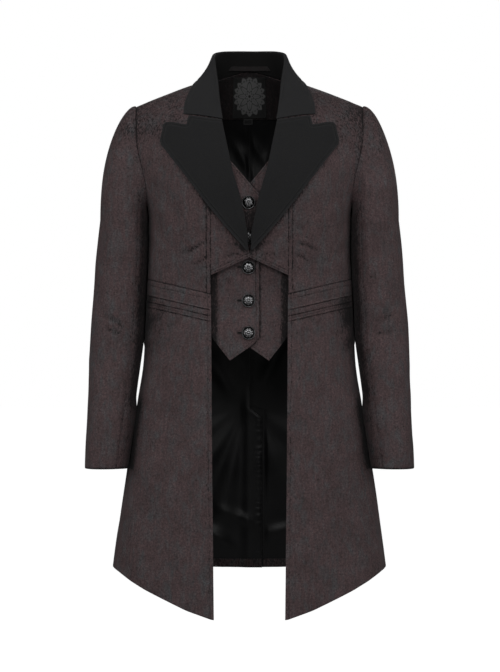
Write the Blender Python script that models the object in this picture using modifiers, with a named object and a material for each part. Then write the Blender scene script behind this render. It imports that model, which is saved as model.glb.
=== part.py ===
"""Gothic tail coat with a mock waistcoat, filled out as if it were worn.

The coat faces -Y, +X is the wearer's left, and the origin lies between the shoulders.
Tables and sizes are in millimetres, and the meshes are made in metres.
Each piece of cloth is a closed wall through rows of points on the coat's form, which
is the outer face of the main cloth. Layers lie outside (+) or inside (-) that face.
"""

import math

import bmesh
import bpy
from mathutils import Vector

MM = 0.001
COLLECTION = "gothic_coat"

# Cloth and seams
CLOTH = 2.0
LINING = 1.0
SEAM_GAP = 0.3
FRONT = -1
BACK = 1
RIGHT = -1
LEFT = 1

# Shoulders, neck and underarm
NECK_HALF_WIDTH = 78.0
NECK_HEIGHT = 8.0
NECK_SETBACK = 12.0
NAPE_HEIGHT = 36.0
NAPE_SETBACK = 70.0
NAPE_DROP = 7.0
SHOULDER_HALF_WIDTH = 204.0
SHOULDER_HEIGHT = -40.0
SHOULDER_SETBACK = 4.0
SHOULDER_BOW = 1.8
UNDERARM_HEIGHT = -225.0
CHEST_ROLL = 210.0
BLADE_ROLL = 140.0
ROLL_POWER = 1.75
RING_POWER = 2.5

# Rings of the body. Columns: height, half width, depth in front, depth behind
BODY_RINGS = [
    (60, 219, 118, 84),
    (-40, 219, 122, 100),
    (-100, 217, 123, 112),
    (-140, 213, 124, 117),
    (-182, 196, 124, 118),
    (-205, 188.5, 124, 117),
    (-225, 182.6, 123, 115),
    (-250, 180.4, 121, 112),
    (-300, 180.4, 113, 102),
    (-370, 184, 105, 91),
    (-430, 186.6, 108, 96),
    (-500, 191, 114, 108),
    (-570, 201.2, 118, 117),
    (-695, 221.3, 122, 122),
    (-803, 237.3, 126, 126),
    (-880, 247.3, 129, 129),
    (-960, 256, 131, 131),
]

# Armhole. Columns: height, distance from the centre in front, the same behind
ARMHOLE = [
    (-40, 204, 204),
    (-70, 203.5, 202.5),
    (-100, 202.5, 200),
    (-124, 199, 197.5),
    (-158, 190.5, 193),
    (-182, 185.5, 188.5),
    (-205, 183.2, 184.3),
    (-225, 182.6, 182.6),
]
ARMHOLE_STEPS = 10
WAIST_ROWS = 5

# Seams and edges of the fronts
PRINCESS_X = 68.4
CENTRE_EDGE_X = 0.15
NECK_CLEARANCE = 3.0
ROLL_INSET = 1.5
ROLL_EASE = 40.0
ROLL_TOP = (48.6, -70.0)
ROLL_FOOT = (2.6, -297.0)
CENTRE_TOP = -308.0
CENTRE_FOOT = -314.5
CUTAWAY_FOOT = -345.6
WAIST_FRONT = -379.0
WAIST_SIDE = -351.5

# Front neckline. Columns: height, distance from the centre
NECKLINE = [
    (8, 78),
    (-14, 68.4),
    (-30, 62),
    (-52, 54),
    (-70, 48.6),
]

# Free front edge of the skirt. Columns: height, distance from the centre
SKIRT_EDGE = [
    (-345, 68.4),
    (-450, 67.5),
    (-700, 65.5),
    (-960, 62.5),
]

# Hem of the front skirt. Columns: distance from the centre, height
FRONT_HEM = [
    (61, -950),
    (68, -949),
    (110, -934),
    (148, -916.5),
    (183, -900.5),
    (212, -885.5),
    (236, -871.5),
    (247, -866),
]
HEM_LEVEL = -900.0
BACK_HEM_CENTRE = -880.5
BACK_HEM_SIDE = -866.0

# Columns of the panels, as shares of the way from the first edge to the side
FRONT_SHARES = [0, 0.175, 0.35, 0.52, 0.68, 0.82, 0.92, 0.975, 1]
NECK_COLUMNS = [0, 20, 40, 60]
CENTRE_COLUMNS = [0, 0.35, 0.68, 1]
CENTRE_ROWS = [0, 0.04, 0.1, 0.19, 0.3, 0.42, 0.54, 0.66, 0.78, 0.88, 0.95, 0.975, 1]
SKIRT_ROWS = 12

# Pintucks under the waist seam: each lies this far below it, and stands up this much
TUCK_DROPS = [27.5, 38.0, 47.5]
TUCK_HEIGHT = 1.8
TUCK_RISE = 3.5
TUCK_FALL = 0.8

# Centre vent: the right back runs past the centre below it, inside the left back
VENT_TOP = -585.0
VENT_FOOT = -603.0
VENT_WIDTH = 23.0
VENT_STEP = 3.6
VENT_EASE_TOP = -545.0
VENT_EASE_WIDTH = 19.0
VENT_INSET = 1.0
BACK_ROWS = [-262, -300, -340, -380, -420, -460, -500, VENT_EASE_TOP, VENT_TOP, VENT_FOOT,
             -645, -690, -735, -780, -825]

# Layers inside the back
LINING_SHARE = 0.96
LINING_ROWS = [-95, -140, -185, -225]
LINING_DEPTH = -2.8
ROUND_EXTRA = -1.3
ROUND_DOWN = (170.0, 225.0)
FACING_FOOT = -54.0
LINING_GAP = 1.4
HEM_FACING_TOP = -864.0
HEM_FACING_RISE = 1.5
VENT_LAP = 3.0
VENT_LAP_COLUMN = 7.0
LABEL_DEPTH = -5.9
LABEL_CLOTH = 0.8

# Sleeves. Columns: height, outer side, inner side, middle in y, half depth
SLEEVE_RINGS = [
    (-245, 268.2, 182.3, 2, 64),
    (-282, 272, 181.9, 1, 62),
    (-318, 275.4, 182.7, 0, 61),
    (-354, 277.8, 184.7, -2, 59.5),
    (-390, 281, 186.6, -4, 58),
    (-426, 284.2, 188.1, -6, 57.5),
    (-462, 286.2, 190, -9, 57),
    (-498, 287.8, 194.6, -13, 56),
    (-534, 288.6, 199.5, -18, 55),
    (-570, 290.4, 204, -23, 54),
    (-606, 291.4, 209.3, -28, 53),
    (-645, 293, 215.3, -33, 52),
    (-688, 293.8, 222, -38, 51),
]
SLEEVE_POWER = 2.3
FIRST_RING = SLEEVE_RINGS[0][0]
HEAD_LEAD_UNDER = (3.0, 1.0)
HEAD_LEAD_OVER = (17.0, 10.0)
HEAD_BULGE_X = 2.0
HEAD_HANG_UNDER = 0.5
HEAD_HANG_OVER = 0.68
CAP_ROWS = 6
CAP_SHARES = [0, 0.1, 0.26, 0.44, 0.62, 0.8, 1]
FRONT_SEAM_ANGLE = 126.0
HIND_SEAM_ANGLE = 108.0
RING_STEP = 18.0

# Collar stations from the nape to the gorge.
# Columns: neckline x, fold x, fold y, fold z, outer edge x, outer edge z
COLLAR_STATIONS = [
    (0, 0, 84, 68, 0, 8),
    (28, 27, 81, 67.5, 40, 6),
    (52, 47, 66, 65, 73, 3),
    (70, 60, 45, 60, 89, 2),
    (78, 63.5, 22, 51, 97.5, 0),
    (71.5, 61.5, -3, 28, 104.5, -13),
    (63.6, 57.5, -31, 2, 110.5, -28),
    (55.5, 53.2, -68, -31, 115, -43),
    (49.2, 48, -88, -70, 115.8, -59.8),
]
BACK_STATIONS = 4
COLLAR_LIFT = 2.8
STAND_GAP = 1.8
FALL_LIFT = 3.2
FALL_SAG = 3.5
FOLD_HALF = 2.4
FOLD_RISE = 0.4
FOLD_REACH = 5.0
FOLD_DROP = 2.2

# Last station of the collar, where it lies on the lapel: steps from the roll line
# Columns: x, out of the coat, z
COLLAR_END = [
    (3.4, -1.6, 3.6),
    (1.2, -1.4, 1.2),
    (0, 0.6, 0),
    (1.8, 2.4, 0),
]

# Lapel outline from the roll line to the lower corner of the peak. Columns: x, z
LAPEL_TOP = [
    (48.4, -71.8),
    (68.5, -68.9),
    (88, -65.9),
    (106.5, -63.1),
    (108.6, -70),
    (110.6, -79.6),
    (118, -78.8),
    (134, -74.8),
    (147.5, -74.2),
    (151.5, -78.7),
    (154.3, -93),
    (157.2, -106.5),
    (155.2, -115.5),
]
LAPEL_FOOT_INNER = (2.2, -300)
LAPEL_FOOT_OUTER = (5.2, -301.5)
LAPEL_BOW = 3.5
LAPEL_ROWS = 9
LAPEL_LIFT = 2.4
LAPEL_DIP = 0.8
LAPEL_SPRING = 3.2
LAPEL_OVERHANG = 4.6

# Mock waistcoat. Columns: distance from the centre, top edge, bottom edge
WAISTCOAT_UNDER = [
    (-12, -186, -471),
    (0, -186, -471),
    (17.5, -164, -483),
    (35, -142, -495),
    (52, -121, -474),
    (68.5, -99, -454),
    (94, -95, -423),
    (118, -95, -394),
]
WAISTCOAT_OVER = [
    (-14.6, -200, -455),
    (-8, -193.5, -464.5),
    (0, -184, -471),
    (17.5, -163, -483),
    (35, -142, -495),
    (52, -121, -474),
    (68.5, -99, -454),
    (94, -95, -423),
    (118, -95, -394),
]
WAISTCOAT_ROWS = 10
OVER_DEPTH = -11.0
UNDER_DEPTH = -13.6
WAISTCOAT_EDGE_DEPTH = -3.6
WAISTCOAT_TURN = (75.0, 118.0)

# Buttons: height of each on the waistcoat, and the turned profile.
# Profile columns: radius, height over the cloth
BUTTON_X = -1.8
BUTTON_HEIGHTS = [-218.7, -280.0, -333.0, -390.0, -446.6]
BUTTON_PROFILE = [
    (0, 7.3),
    (5, 6.9),
    (9, 5.4),
    (10.6, 4.0),
    (12, 3.6),
    (12, 2.2),
    (9, 1.6),
    (3, 1.4),
    (3, 0),
    (0, 0),
]
BUTTON_SIDES = 16
BUTTON_OFF = 0.6

# Inside the back neck
FACING_COLUMNS = [-72, -60, -48, -32, -16, 0, 16, 32, 48, 60, 72]
FACING_ROWS = 5
FACING_INSET = 1.0
LABEL_COLUMNS = [-32, -16, 0, 16, 32]
LABEL_HEIGHTS = [22, 4, -14, -33, -51]
TAG_COLUMNS = [-11.5, -3, 6]
TAG_HEIGHTS = [-52, -57.5, -63]
LOOP_TOP = 40.0
LOOP_FOOT = 31.5
LOOP_TOP_HALF = 32.0
LOOP_FOOT_HALF = 38.0
LOOP_CLOTH = 1.2
LOOP_CELLS = 8
LOOP_LEAN = 0.195
LOOP_OFF = 0.6

# Colours as linear values, roughness and metallic of each material
MATERIALS = {
    "brocade": ((0.040, 0.030, 0.032), 0.6, 0.0),
    "collar_cloth": ((0.020, 0.020, 0.021), 0.75, 0.0),
    "satin": ((0.004, 0.004, 0.005), 0.35, 0.0),
    "label_cloth": ((0.010, 0.010, 0.010), 0.6, 0.0),
    "antique_silver": ((0.25, 0.25, 0.26), 0.35, 1.0),
}


# Reading the tables

def read_curve(table, key, column):
    """Smooth value of a column where the table's first column reaches the key."""
    keys = [row[0] for row in table]
    values = [row[column] for row in table]
    if keys[0] > keys[-1]:
        keys.reverse()
        values.reverse()
    last = len(keys) - 1
    key = min(max(key, keys[0]), keys[-1])
    i = 0
    while i < last - 1 and key > keys[i + 1]:
        i += 1

    def slope(k):
        low = max(k - 1, 0)
        high = min(k + 1, last)
        return (values[high] - values[low]) / (keys[high] - keys[low])

    span = keys[i + 1] - keys[i]
    t = (key - keys[i]) / span
    start = (1 + 2 * t) * (1 - t) ** 2 * values[i] + t * (1 - t) ** 2 * span * slope(i)
    end = t * t * (3 - 2 * t) * values[i + 1] - t * t * (1 - t) * span * slope(i + 1)
    return start + end


def read_line(table, key, column):
    """Straight-line value of a column where the table's first column reaches the key."""
    rows = sorted(table)
    if key <= rows[0][0]:
        return rows[0][column]
    for low, high in zip(rows, rows[1:]):
        if key <= high[0]:
            share = (key - low[0]) / (high[0] - low[0])
            return low[column] + (high[column] - low[column]) * share
    return rows[-1][column]


def mix(a, b, share):
    return a + (b - a) * share


def ease(value, start, end):
    """Smooth step from 0 at the start to 1 at the end."""
    t = min(max((value - start) / (end - start), 0.0), 1.0)
    return t * t * (3 - 2 * t)


# Form of the body of the coat

def ridge_height(x):
    """Height of the shoulder line, and of the neck inside it."""
    x = abs(x)
    fall = (SHOULDER_HEIGHT - NECK_HEIGHT + SHOULDER_BOW * 4)
    fall /= SHOULDER_HALF_WIDTH - NECK_HALF_WIDTH
    if x >= NECK_HALF_WIDTH:
        share = (x - NECK_HALF_WIDTH) / (SHOULDER_HALF_WIDTH - NECK_HALF_WIDTH)
        return mix(NECK_HEIGHT, SHOULDER_HEIGHT, share) + SHOULDER_BOW * 4 * share * (1 - share)
    t = x / NECK_HALF_WIDTH
    neck = t * t * (3 - 2 * t)
    return mix(NAPE_HEIGHT, NECK_HEIGHT, neck) - t * t * (1 - t) * NECK_HALF_WIDTH * fall


def ridge_setback(side, x):
    """Y of the shoulder line, and of the neck inside it."""
    x = abs(x)
    if x >= NECK_HALF_WIDTH:
        share = (x - NECK_HALF_WIDTH) / (SHOULDER_HALF_WIDTH - NECK_HALF_WIDTH)
        return mix(NECK_SETBACK, SHOULDER_SETBACK, share)
    if side == FRONT:
        return NECK_SETBACK
    round_neck = (1 - (x / NECK_HALF_WIDTH) ** 2) ** 0.75
    return mix(NECK_SETBACK, NAPE_SETBACK, round_neck)


def half_width(z):
    return read_curve(BODY_RINGS, z, 1)


def body_y(side, x, z):
    """Y of the front or back of the coat at a place seen from the front."""
    depth = read_curve(BODY_RINGS, z, 2 if side == FRONT else 3)
    across = min(abs(x) / half_width(z), 1.0)
    flat = side * depth * (1 - across ** RING_POWER) ** (1 / RING_POWER)
    roll_height = CHEST_ROLL if side == FRONT else BLADE_ROLL
    drop = min(max((ridge_height(x) - z) / roll_height, 0.0), 1.0)
    roll = (1 - (1 - drop) ** ROLL_POWER) ** (1 / ROLL_POWER)
    return mix(ridge_setback(side, x), flat, roll)


def body_spot(side, x, z):
    """Point on the coat's form and the direction out of it, for x of 0 or more."""
    step = 1e-5
    y = body_y(side, x, z)
    inner_x = abs(x - step)
    inner_z = z + ridge_height(inner_x) - ridge_height(x)
    across = Vector((-step, body_y(side, inner_x, inner_z) - y, inner_z - z))
    low_x = x * half_width(z - step) / half_width(z)
    down = Vector((low_x - x, body_y(side, low_x, z - step) - y, -step))
    out = across.normalized().cross(down.normalized()).normalized()
    return Vector((x, y, z)), out * -side


# Building walls from rows of spots

def pull_in(spots, gap):
    """Take half a seam gap off all four edges of a grid of spots."""
    rows = [[(point.copy(), out) for point, out in row] for row in spots]
    for row in rows:
        for edge, near in ((0, 1), (-1, -2)):
            way = (row[near][0] - row[edge][0]).normalized()
            row[edge] = (row[edge][0] + way * gap, row[edge][1])
    for edge, near in ((0, 1), (-1, -2)):
        for j in range(len(rows[0])):
            way = (rows[near][j][0] - rows[edge][j][0]).normalized()
            rows[edge][j] = (rows[edge][j][0] + way * gap, rows[edge][j][1])
    return rows


def mirrored(spots, side):
    """Grid of spots moved to the wearer's right or left."""
    def turn(vector):
        return Vector((vector.x * side, vector.y, vector.z))
    return [[(turn(point), turn(out)) for point, out in row] for row in spots]


def add_wall(name, spots, outer, inner, material):
    """Closed wall between two faces offset from a grid of spots.

    The offsets are numbers, or functions of the row and the column."""
    count_rows = len(spots)
    count_columns = len(spots[0])
    mesh = bpy.data.meshes.new(name)
    form = bmesh.new()
    layers = []
    for offset in (outer, inner):
        layer = []
        for i, row in enumerate(spots):
            reach = [offset(i, j) if callable(offset) else offset for j in range(count_columns)]
            layer.append([form.verts.new((point + out * far) * MM)
                          for (point, out), far in zip(row, reach)])
        layers.append(layer)
    top, under = layers
    for i in range(count_rows - 1):
        for j in range(count_columns - 1):
            form.faces.new((top[i][j], top[i + 1][j], top[i + 1][j + 1], top[i][j + 1]))
            form.faces.new((under[i][j], under[i][j + 1], under[i + 1][j + 1], under[i + 1][j]))
    rim = [(0, j) for j in range(count_columns)]
    rim += [(i, count_columns - 1) for i in range(1, count_rows)]
    rim += [(count_rows - 1, j) for j in range(count_columns - 2, -1, -1)]
    rim += [(i, 0) for i in range(count_rows - 2, 0, -1)]
    for (i, j), (k, m) in zip(rim, rim[1:] + rim[:1]):
        form.faces.new((top[i][j], top[k][m], under[k][m], under[i][j]))
    if form.calc_volume(signed=True) < 0:
        bmesh.ops.reverse_faces(form, faces=form.faces)
    form.to_mesh(mesh)
    form.free()
    mesh.shade_smooth()
    mesh.set_sharp_from_angle(angle=math.radians(40))
    mesh.materials.append(make_material(material))
    wall = bpy.data.objects.new(name, mesh)
    bpy.data.collections[COLLECTION].objects.link(wall)
    return wall


def make_material(name):
    """Plain material with the cloth's or metal's colour."""
    if name in bpy.data.materials:
        return bpy.data.materials[name]
    colour, roughness, metallic = MATERIALS[name]
    material = bpy.data.materials.new(name)
    material.use_nodes = True
    shader = material.node_tree.nodes["Principled BSDF"]
    shader.inputs["Base Color"].default_value = (*colour, 1.0)
    shader.inputs["Roughness"].default_value = roughness
    shader.inputs["Metallic"].default_value = metallic
    return material


# Fronts

def armhole_shares():
    """Shares of the way down the armhole, close together at both ends."""
    return [(1 - math.cos(math.pi * k / ARMHOLE_STEPS)) / 2 for k in range(ARMHOLE_STEPS + 1)]


def side_edge(side, z):
    """X of the armhole, and of the side seam below it."""
    if z > UNDERARM_HEIGHT:
        return read_curve(ARMHOLE, z, 1 if side == FRONT else 2)
    return half_width(z)


def front_inner_edge(z):
    """X of the side front's inner edge: the neckline, clear of the collar, then the seam."""
    neck = read_curve(NECKLINE, z, 1) + NECK_CLEARANCE * ease(NECK_HEIGHT - z, 0, 8)
    return max(neck, PRINCESS_X)


def front_side_spots():
    """From the princess seam and neckline to the armhole and side seam."""
    rows = []
    for amount in armhole_shares():
        inner = front_inner_edge(mix(NECK_HEIGHT, UNDERARM_HEIGHT, amount))
        outer = side_edge(FRONT, mix(SHOULDER_HEIGHT, UNDERARM_HEIGHT, amount))
        row = []
        for share in FRONT_SHARES:
            shoulder = ridge_height(mix(NECK_HALF_WIDTH, SHOULDER_HALF_WIDTH, share))
            z = mix(shoulder, UNDERARM_HEIGHT, amount)
            row.append(body_spot(FRONT, mix(inner, outer, share), z))
        rows.append(row)
    for k in range(1, WAIST_ROWS + 1):
        row = []
        for share in FRONT_SHARES:
            z = mix(UNDERARM_HEIGHT, mix(WAIST_FRONT, WAIST_SIDE, share), k / WAIST_ROWS)
            row.append(body_spot(FRONT, mix(PRINCESS_X, side_edge(FRONT, z), share), z))
        rows.append(row)
    return rows


def front_centre_spots():
    """From the roll line and centre edge to the princess seam."""
    rows = []
    for amount in CENTRE_ROWS:
        row = []
        for share in CENTRE_COLUMNS:
            neck = read_curve([(row[1], row[0]) for row in NECKLINE],
                              mix(ROLL_TOP[0], PRINCESS_X, share), 1)
            foot = mix(CENTRE_FOOT, CUTAWAY_FOOT, share)
            z = mix(neck - 2 * NECK_CLEARANCE, foot, amount)
            inner = roll_edge(z) + ROLL_INSET * ease(z, CENTRE_TOP, CENTRE_TOP + ROLL_EASE)
            x = mix(inner, PRINCESS_X, share)
            row.append(body_spot(FRONT, x, z))
        rows.append(row)
    return rows


def roll_edge(z):
    """X of the roll line, and of the centre edge below it."""
    return read_line([(ROLL_TOP[1], ROLL_TOP[0]), (ROLL_FOOT[1], ROLL_FOOT[0]),
                      (CENTRE_TOP, CENTRE_EDGE_X), (CENTRE_FOOT, CENTRE_EDGE_X)], z, 1)


def skirt_rows():
    """Rows of the front skirt: distance below the seam, and height of the tucks."""
    rows = [(0, 0), (TUCK_DROPS[0] / 2, 0)]
    for drop in TUCK_DROPS:
        rows += [(drop - TUCK_RISE, 0), (drop, TUCK_HEIGHT), (drop + TUCK_FALL, 0)]
    return rows


def skirt_front_spots():
    """Front skirt from the waist seam to the hem, with its pintucks as row offsets."""
    tucks = skirt_rows()
    rows = []
    lifts = []
    for k in range(len(tucks) + SKIRT_ROWS):
        row = []
        for share in FRONT_SHARES:
            seam = mix(WAIST_FRONT, WAIST_SIDE, share)
            if k < len(tucks):
                z = seam - tucks[k][0]
            else:
                low_x = mix(read_line(SKIRT_EDGE, HEM_LEVEL, 1), half_width(HEM_LEVEL), share)
                amount = (k - len(tucks) + 1) / SKIRT_ROWS
                z = mix(seam - tucks[-1][0], read_line(FRONT_HEM, low_x, 1), amount)
            x = mix(read_line(SKIRT_EDGE, z, 1), half_width(z), share)
            row.append(body_spot(FRONT, x, z))
        rows.append(row)
        lifts.append(tucks[k][1] if k < len(tucks) else 0)
    return rows, lifts


def add_fronts():
    centre = pull_in(front_centre_spots(), SEAM_GAP / 2)
    side_front = pull_in(front_side_spots(), SEAM_GAP / 2)
    skirt_spots, lifts = skirt_front_spots()
    skirt = pull_in(skirt_spots, SEAM_GAP / 2)

    def tuck(i, j):
        return lifts[i] * (1 - ease(FRONT_SHARES[j], 0.9, 1))

    for letter, side in (("R", RIGHT), ("L", LEFT)):
        add_wall("front_centre_" + letter, mirrored(centre, side), 0, -CLOTH, "brocade")
        add_wall("front_side_" + letter, mirrored(side_front, side), 0, -CLOTH, "brocade")
        add_wall("skirt_front_" + letter, mirrored(skirt, side), tuck,
                 lambda i, j: tuck(i, j) - CLOTH, "brocade")


# Back, its lining and facings

def back_shares():
    """Shares of the way from the centre back to the side, with a column at the neck."""
    span = SHOULDER_HALF_WIDTH - NECK_HALF_WIDTH
    shares = [x / SHOULDER_HALF_WIDTH for x in NECK_COLUMNS]
    return shares + [(NECK_HALF_WIDTH + span * share) / SHOULDER_HALF_WIDTH for share in FRONT_SHARES]


def back_top(x):
    """Height of the back's top edge: the neckline, then the shoulder seam."""
    inside = max(1 - (x / NECK_HALF_WIDTH) ** 2, 0.0)
    return ridge_height(x) - NAPE_DROP * inside


def back_hem(x):
    return mix(BACK_HEM_CENTRE, BACK_HEM_SIDE, (abs(x) / half_width(BACK_HEM_SIDE)) ** 2)


def vent_step(side, x, z):
    """How far the right back lies inside the left one at the vent."""
    if side == LEFT:
        return 0.0
    down = min(max((VENT_EASE_TOP - z) / (VENT_EASE_TOP - VENT_TOP), 0.0), 1.0)
    return -VENT_STEP * down * (1 - ease(x, VENT_INSET, VENT_EASE_WIDTH))


def spot_behind(x, z):
    """Spot on the back for any x, also past the centre."""
    point, out = body_spot(BACK, abs(x), z)
    if x < 0:
        point.x = x
        out = Vector((-out.x, out.y, out.z))
    return point, out


def vent_edge(z):
    """X of the right back's centre edge, below zero where it runs past the centre."""
    down = min(max((VENT_TOP - z) / (VENT_TOP - VENT_FOOT), 0.0), 1.0)
    return -VENT_WIDTH * down


def back_row(side, shares, height_at):
    """One row across the back, with one more column for the vent on the right back."""
    row = []
    for share in shares:
        z = height_at(share * SHOULDER_HALF_WIDTH)
        z = height_at(share * side_edge(BACK, z))
        x = share * side_edge(BACK, z)
        if side == RIGHT:
            x = max(x, VENT_INSET)
        point, out = spot_behind(x, z)
        row.append((point + out * vent_step(side, x, z), out))
    if side == RIGHT:
        z = height_at(0)
        point, out = spot_behind(vent_edge(z), z)
        row.insert(0, (point + out * vent_step(side, 0, z), out))
    return row


def back_spots(side):
    """From the centre back to the armhole and side seam."""
    shares = back_shares()
    rows = []
    for amount in armhole_shares():
        def height_at(x, amount=amount):
            return mix(back_top(x), UNDERARM_HEIGHT, amount)
        if amount < 1:
            rows.append(armhole_row(side, shares, amount))
        else:
            rows.append(back_row(side, shares, height_at))
    for height in BACK_ROWS:
        rows.append(back_row(side, shares, lambda x, z=height: z))
    rows.append(back_row(side, shares, back_hem))
    return rows


def armhole_row(side, shares, amount):
    """Row of the upper back, from the neckline or shoulder down towards the underarm."""
    row = []
    for share in shares:
        top_x = share * SHOULDER_HALF_WIDTH
        z = mix(back_top(top_x), UNDERARM_HEIGHT, amount)
        x = share * side_edge(BACK, mix(SHOULDER_HEIGHT, UNDERARM_HEIGHT, amount))
        if side == RIGHT:
            x = max(x, VENT_INSET)
        row.append(body_spot(BACK, x, z))
    if side == RIGHT:
        row.insert(0, body_spot(BACK, 0, mix(back_top(0), UNDERARM_HEIGHT, amount)))
    return row


def lining_spots(side):
    """Back lining from the neck facing to the hem facing, short of the side seam."""
    shares = [share for share in back_shares() if share < LINING_SHARE]
    heights = [FACING_FOOT - LINING_GAP] + LINING_ROWS + BACK_ROWS + [HEM_FACING_TOP]
    return [back_row(side, shares, lambda x, z=height: z) for height in heights]


def hem_facing_spots(side):
    shares = [share for share in back_shares() if share < LINING_SHARE]
    rows = [back_row(side, shares, lambda x: HEM_FACING_TOP - SEAM_GAP)]
    rows.append(back_row(side, shares, lambda x: back_hem(x) + HEM_FACING_RISE))
    return rows


def trim_left_lining(spots):
    """The left lining stops at the vent's edge, where the right back covers it."""
    for row in spots:
        z = row[0][0].z
        if z <= VENT_TOP:
            edge = VENT_WIDTH + VENT_LAP
            row[0] = spot_behind(edge, z)
            row[1] = spot_behind(edge + VENT_LAP_COLUMN, z)
    return spots


def add_backs():
    for letter, side in (("R", RIGHT), ("L", LEFT)):
        back = pull_in(back_spots(side), SEAM_GAP / 2)
        add_wall("back_" + letter, mirrored(back, side), 0, -CLOTH, "brocade")
        lining = lining_spots(side)
        facing = hem_facing_spots(side)
        if side == LEFT:
            lining = trim_left_lining(lining)
            facing = trim_left_lining(facing)
        lining = pull_in(lining, SEAM_GAP / 2)
        facing = pull_in(facing, SEAM_GAP / 2)
        deep = LINING_DEPTH - LINING

        def outer(i, j, lining=lining):
            return LINING_DEPTH + ROUND_EXTRA * (1 - ease(-lining[i][j][0].z, *ROUND_DOWN))
        add_wall("back_lining_" + letter, mirrored(lining, side), outer,
                 lambda i, j, outer=outer: outer(i, j) - LINING, "satin")
        add_wall("hem_facing_" + letter, mirrored(facing, side), LINING_DEPTH, deep, "brocade")


def add_neck_inside():
    facing = []
    for k in range(FACING_ROWS + 1):
        row = []
        for x in FACING_COLUMNS:
            z = mix(back_top(abs(x)) - FACING_INSET, FACING_FOOT, k / FACING_ROWS)
            row.append(spot_behind(x, z))
        facing.append(row)
    outer = LINING_DEPTH + ROUND_EXTRA
    add_wall("neck_facing", facing, outer, outer - LINING, "brocade")
    label = [[spot_behind(x, z) for x in LABEL_COLUMNS] for z in LABEL_HEIGHTS]
    add_wall("neck_label", label, LABEL_DEPTH, LABEL_DEPTH - LABEL_CLOTH, "label_cloth")
    tag = [[spot_behind(x, z) for x in TAG_COLUMNS] for z in TAG_HEIGHTS]
    add_wall("size_tag", tag, LABEL_DEPTH, LABEL_DEPTH - LABEL_CLOTH, "label_cloth")


# Collar, hanger loop and lapels

def neckline_spot(x, side):
    """Point at the middle of the cloth's edge along the neckline."""
    if side == BACK:
        z = back_top(x)
    else:
        z = read_curve([(row[1], row[0]) for row in NECKLINE], x, 1)
    point, out = body_spot(side, x, z)
    return point - out * (CLOTH / 2)


def collar_edge_spot(x, z, side):
    """Point at the middle of the collar's outer edge, lifted off the coat."""
    z = min(z, ridge_height(x))
    point, out = body_spot(side, x, z)
    return point + out * COLLAR_LIFT


def clear_of_coat(point, least):
    """Point pushed out until it lies this far outside the front or back."""
    if point.z >= ridge_height(point.x) - 0.5:
        return point
    side = FRONT if point.y < ridge_setback(FRONT, point.x) else BACK
    spot, out = body_spot(side, abs(point.x), point.z)
    far = (point - spot).dot(out)
    return point + out * max(least - far, 0.0)


def collar_station(row, index):
    """Section of the collar from the neckline over the fold to the outer edge."""
    neck_x, fold_x, fold_y, fold_z, edge_x, edge_z = row
    side = BACK if index < BACK_STATIONS else FRONT
    neck = neckline_spot(neck_x, side)
    fold = Vector((fold_x, fold_y, fold_z))
    neck += (fold - neck).normalized() * STAND_GAP
    edge = collar_edge_spot(edge_x, edge_z, side)
    if index == len(COLLAR_STATIONS) - 1:
        point, out = body_spot(FRONT, fold_x, fold_z)
        end = [point + Vector((x, 0, z)) + out * far for x, far, z in COLLAR_END]
        section = [end[0], mix(end[0], end[1], 0.5)] + end[1:]
    else:
        away = Vector((edge.x - neck.x, edge.y - neck.y, 0)).normalized()
        before = mix(neck, fold, 1 - FOLD_HALF / (fold - neck).length)
        top = fold + away * FOLD_HALF + Vector((0, 0, FOLD_RISE))
        after = fold + away * FOLD_REACH - Vector((0, 0, FOLD_DROP))
        section = [neck, mix(neck, before, 0.5), before, top, after]
    start = section[-1]
    for share in (0.34, 0.67):
        point = mix(start, edge, share)
        point.x -= FALL_SAG * math.sin(math.pi * share) * ease(index, 0, 3)
        section.append(clear_of_coat(point, FALL_LIFT))
    section.append(edge)
    return section


def between_stations(stations):
    """Stations with a smooth one halfway between each pair."""
    full = []
    last = len(stations) - 1
    for i in range(last):
        before = stations[max(i - 1, 0)]
        after = stations[min(i + 2, last)]
        middle = []
        for a, b, c, d in zip(before, stations[i], stations[i + 1], after):
            if i == 0:
                a = Vector((-c.x, c.y, c.z))
            middle.append((b + c) * 0.5625 - (a + d) * 0.0625)
        full += [stations[i], middle]
    return full + [stations[last]]


def sheet_spots(points):
    """Spots whose directions are worked out from the neighbouring points."""
    rows = []
    for i, row in enumerate(points):
        above = points[max(i - 1, 0)]
        below = points[min(i + 1, len(points) - 1)]
        spots = []
        for j, point in enumerate(row):
            right = row[min(j + 1, len(row) - 1)]
            left = row[max(j - 1, 0)]
            out = (below[j] - above[j]).cross(right - left).normalized()
            spots.append((point, out))
        rows.append(spots)
    return rows


def add_collar():
    stations = [collar_station(row, index) for index, row in enumerate(COLLAR_STATIONS)]
    half = between_stations(stations)
    other = [[Vector((-point.x, point.y, point.z)) for point in section] for section in half[:0:-1]]
    spots = sheet_spots(other + half)
    add_wall("collar", spots, CLOTH / 2, -CLOTH / 2, "collar_cloth")


def add_hanger_loop():
    points = []
    for z, half in ((LOOP_TOP, LOOP_TOP_HALF), (LOOP_FOOT, LOOP_FOOT_HALF)):
        row = []
        for k in range(LOOP_CELLS + 1):
            x = mix(-half, half, k / LOOP_CELLS)
            neck = neckline_spot(abs(x), BACK)
            y = neck.y + (z - neck.z) * LOOP_LEAN - CLOTH / 2 - LOOP_CLOTH - LOOP_OFF
            row.append(Vector((x, y, z)))
        points.append(row)
    add_wall("hanger_loop", sheet_spots(points), LOOP_CLOTH / 2, -LOOP_CLOTH / 2, "brocade")


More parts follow.
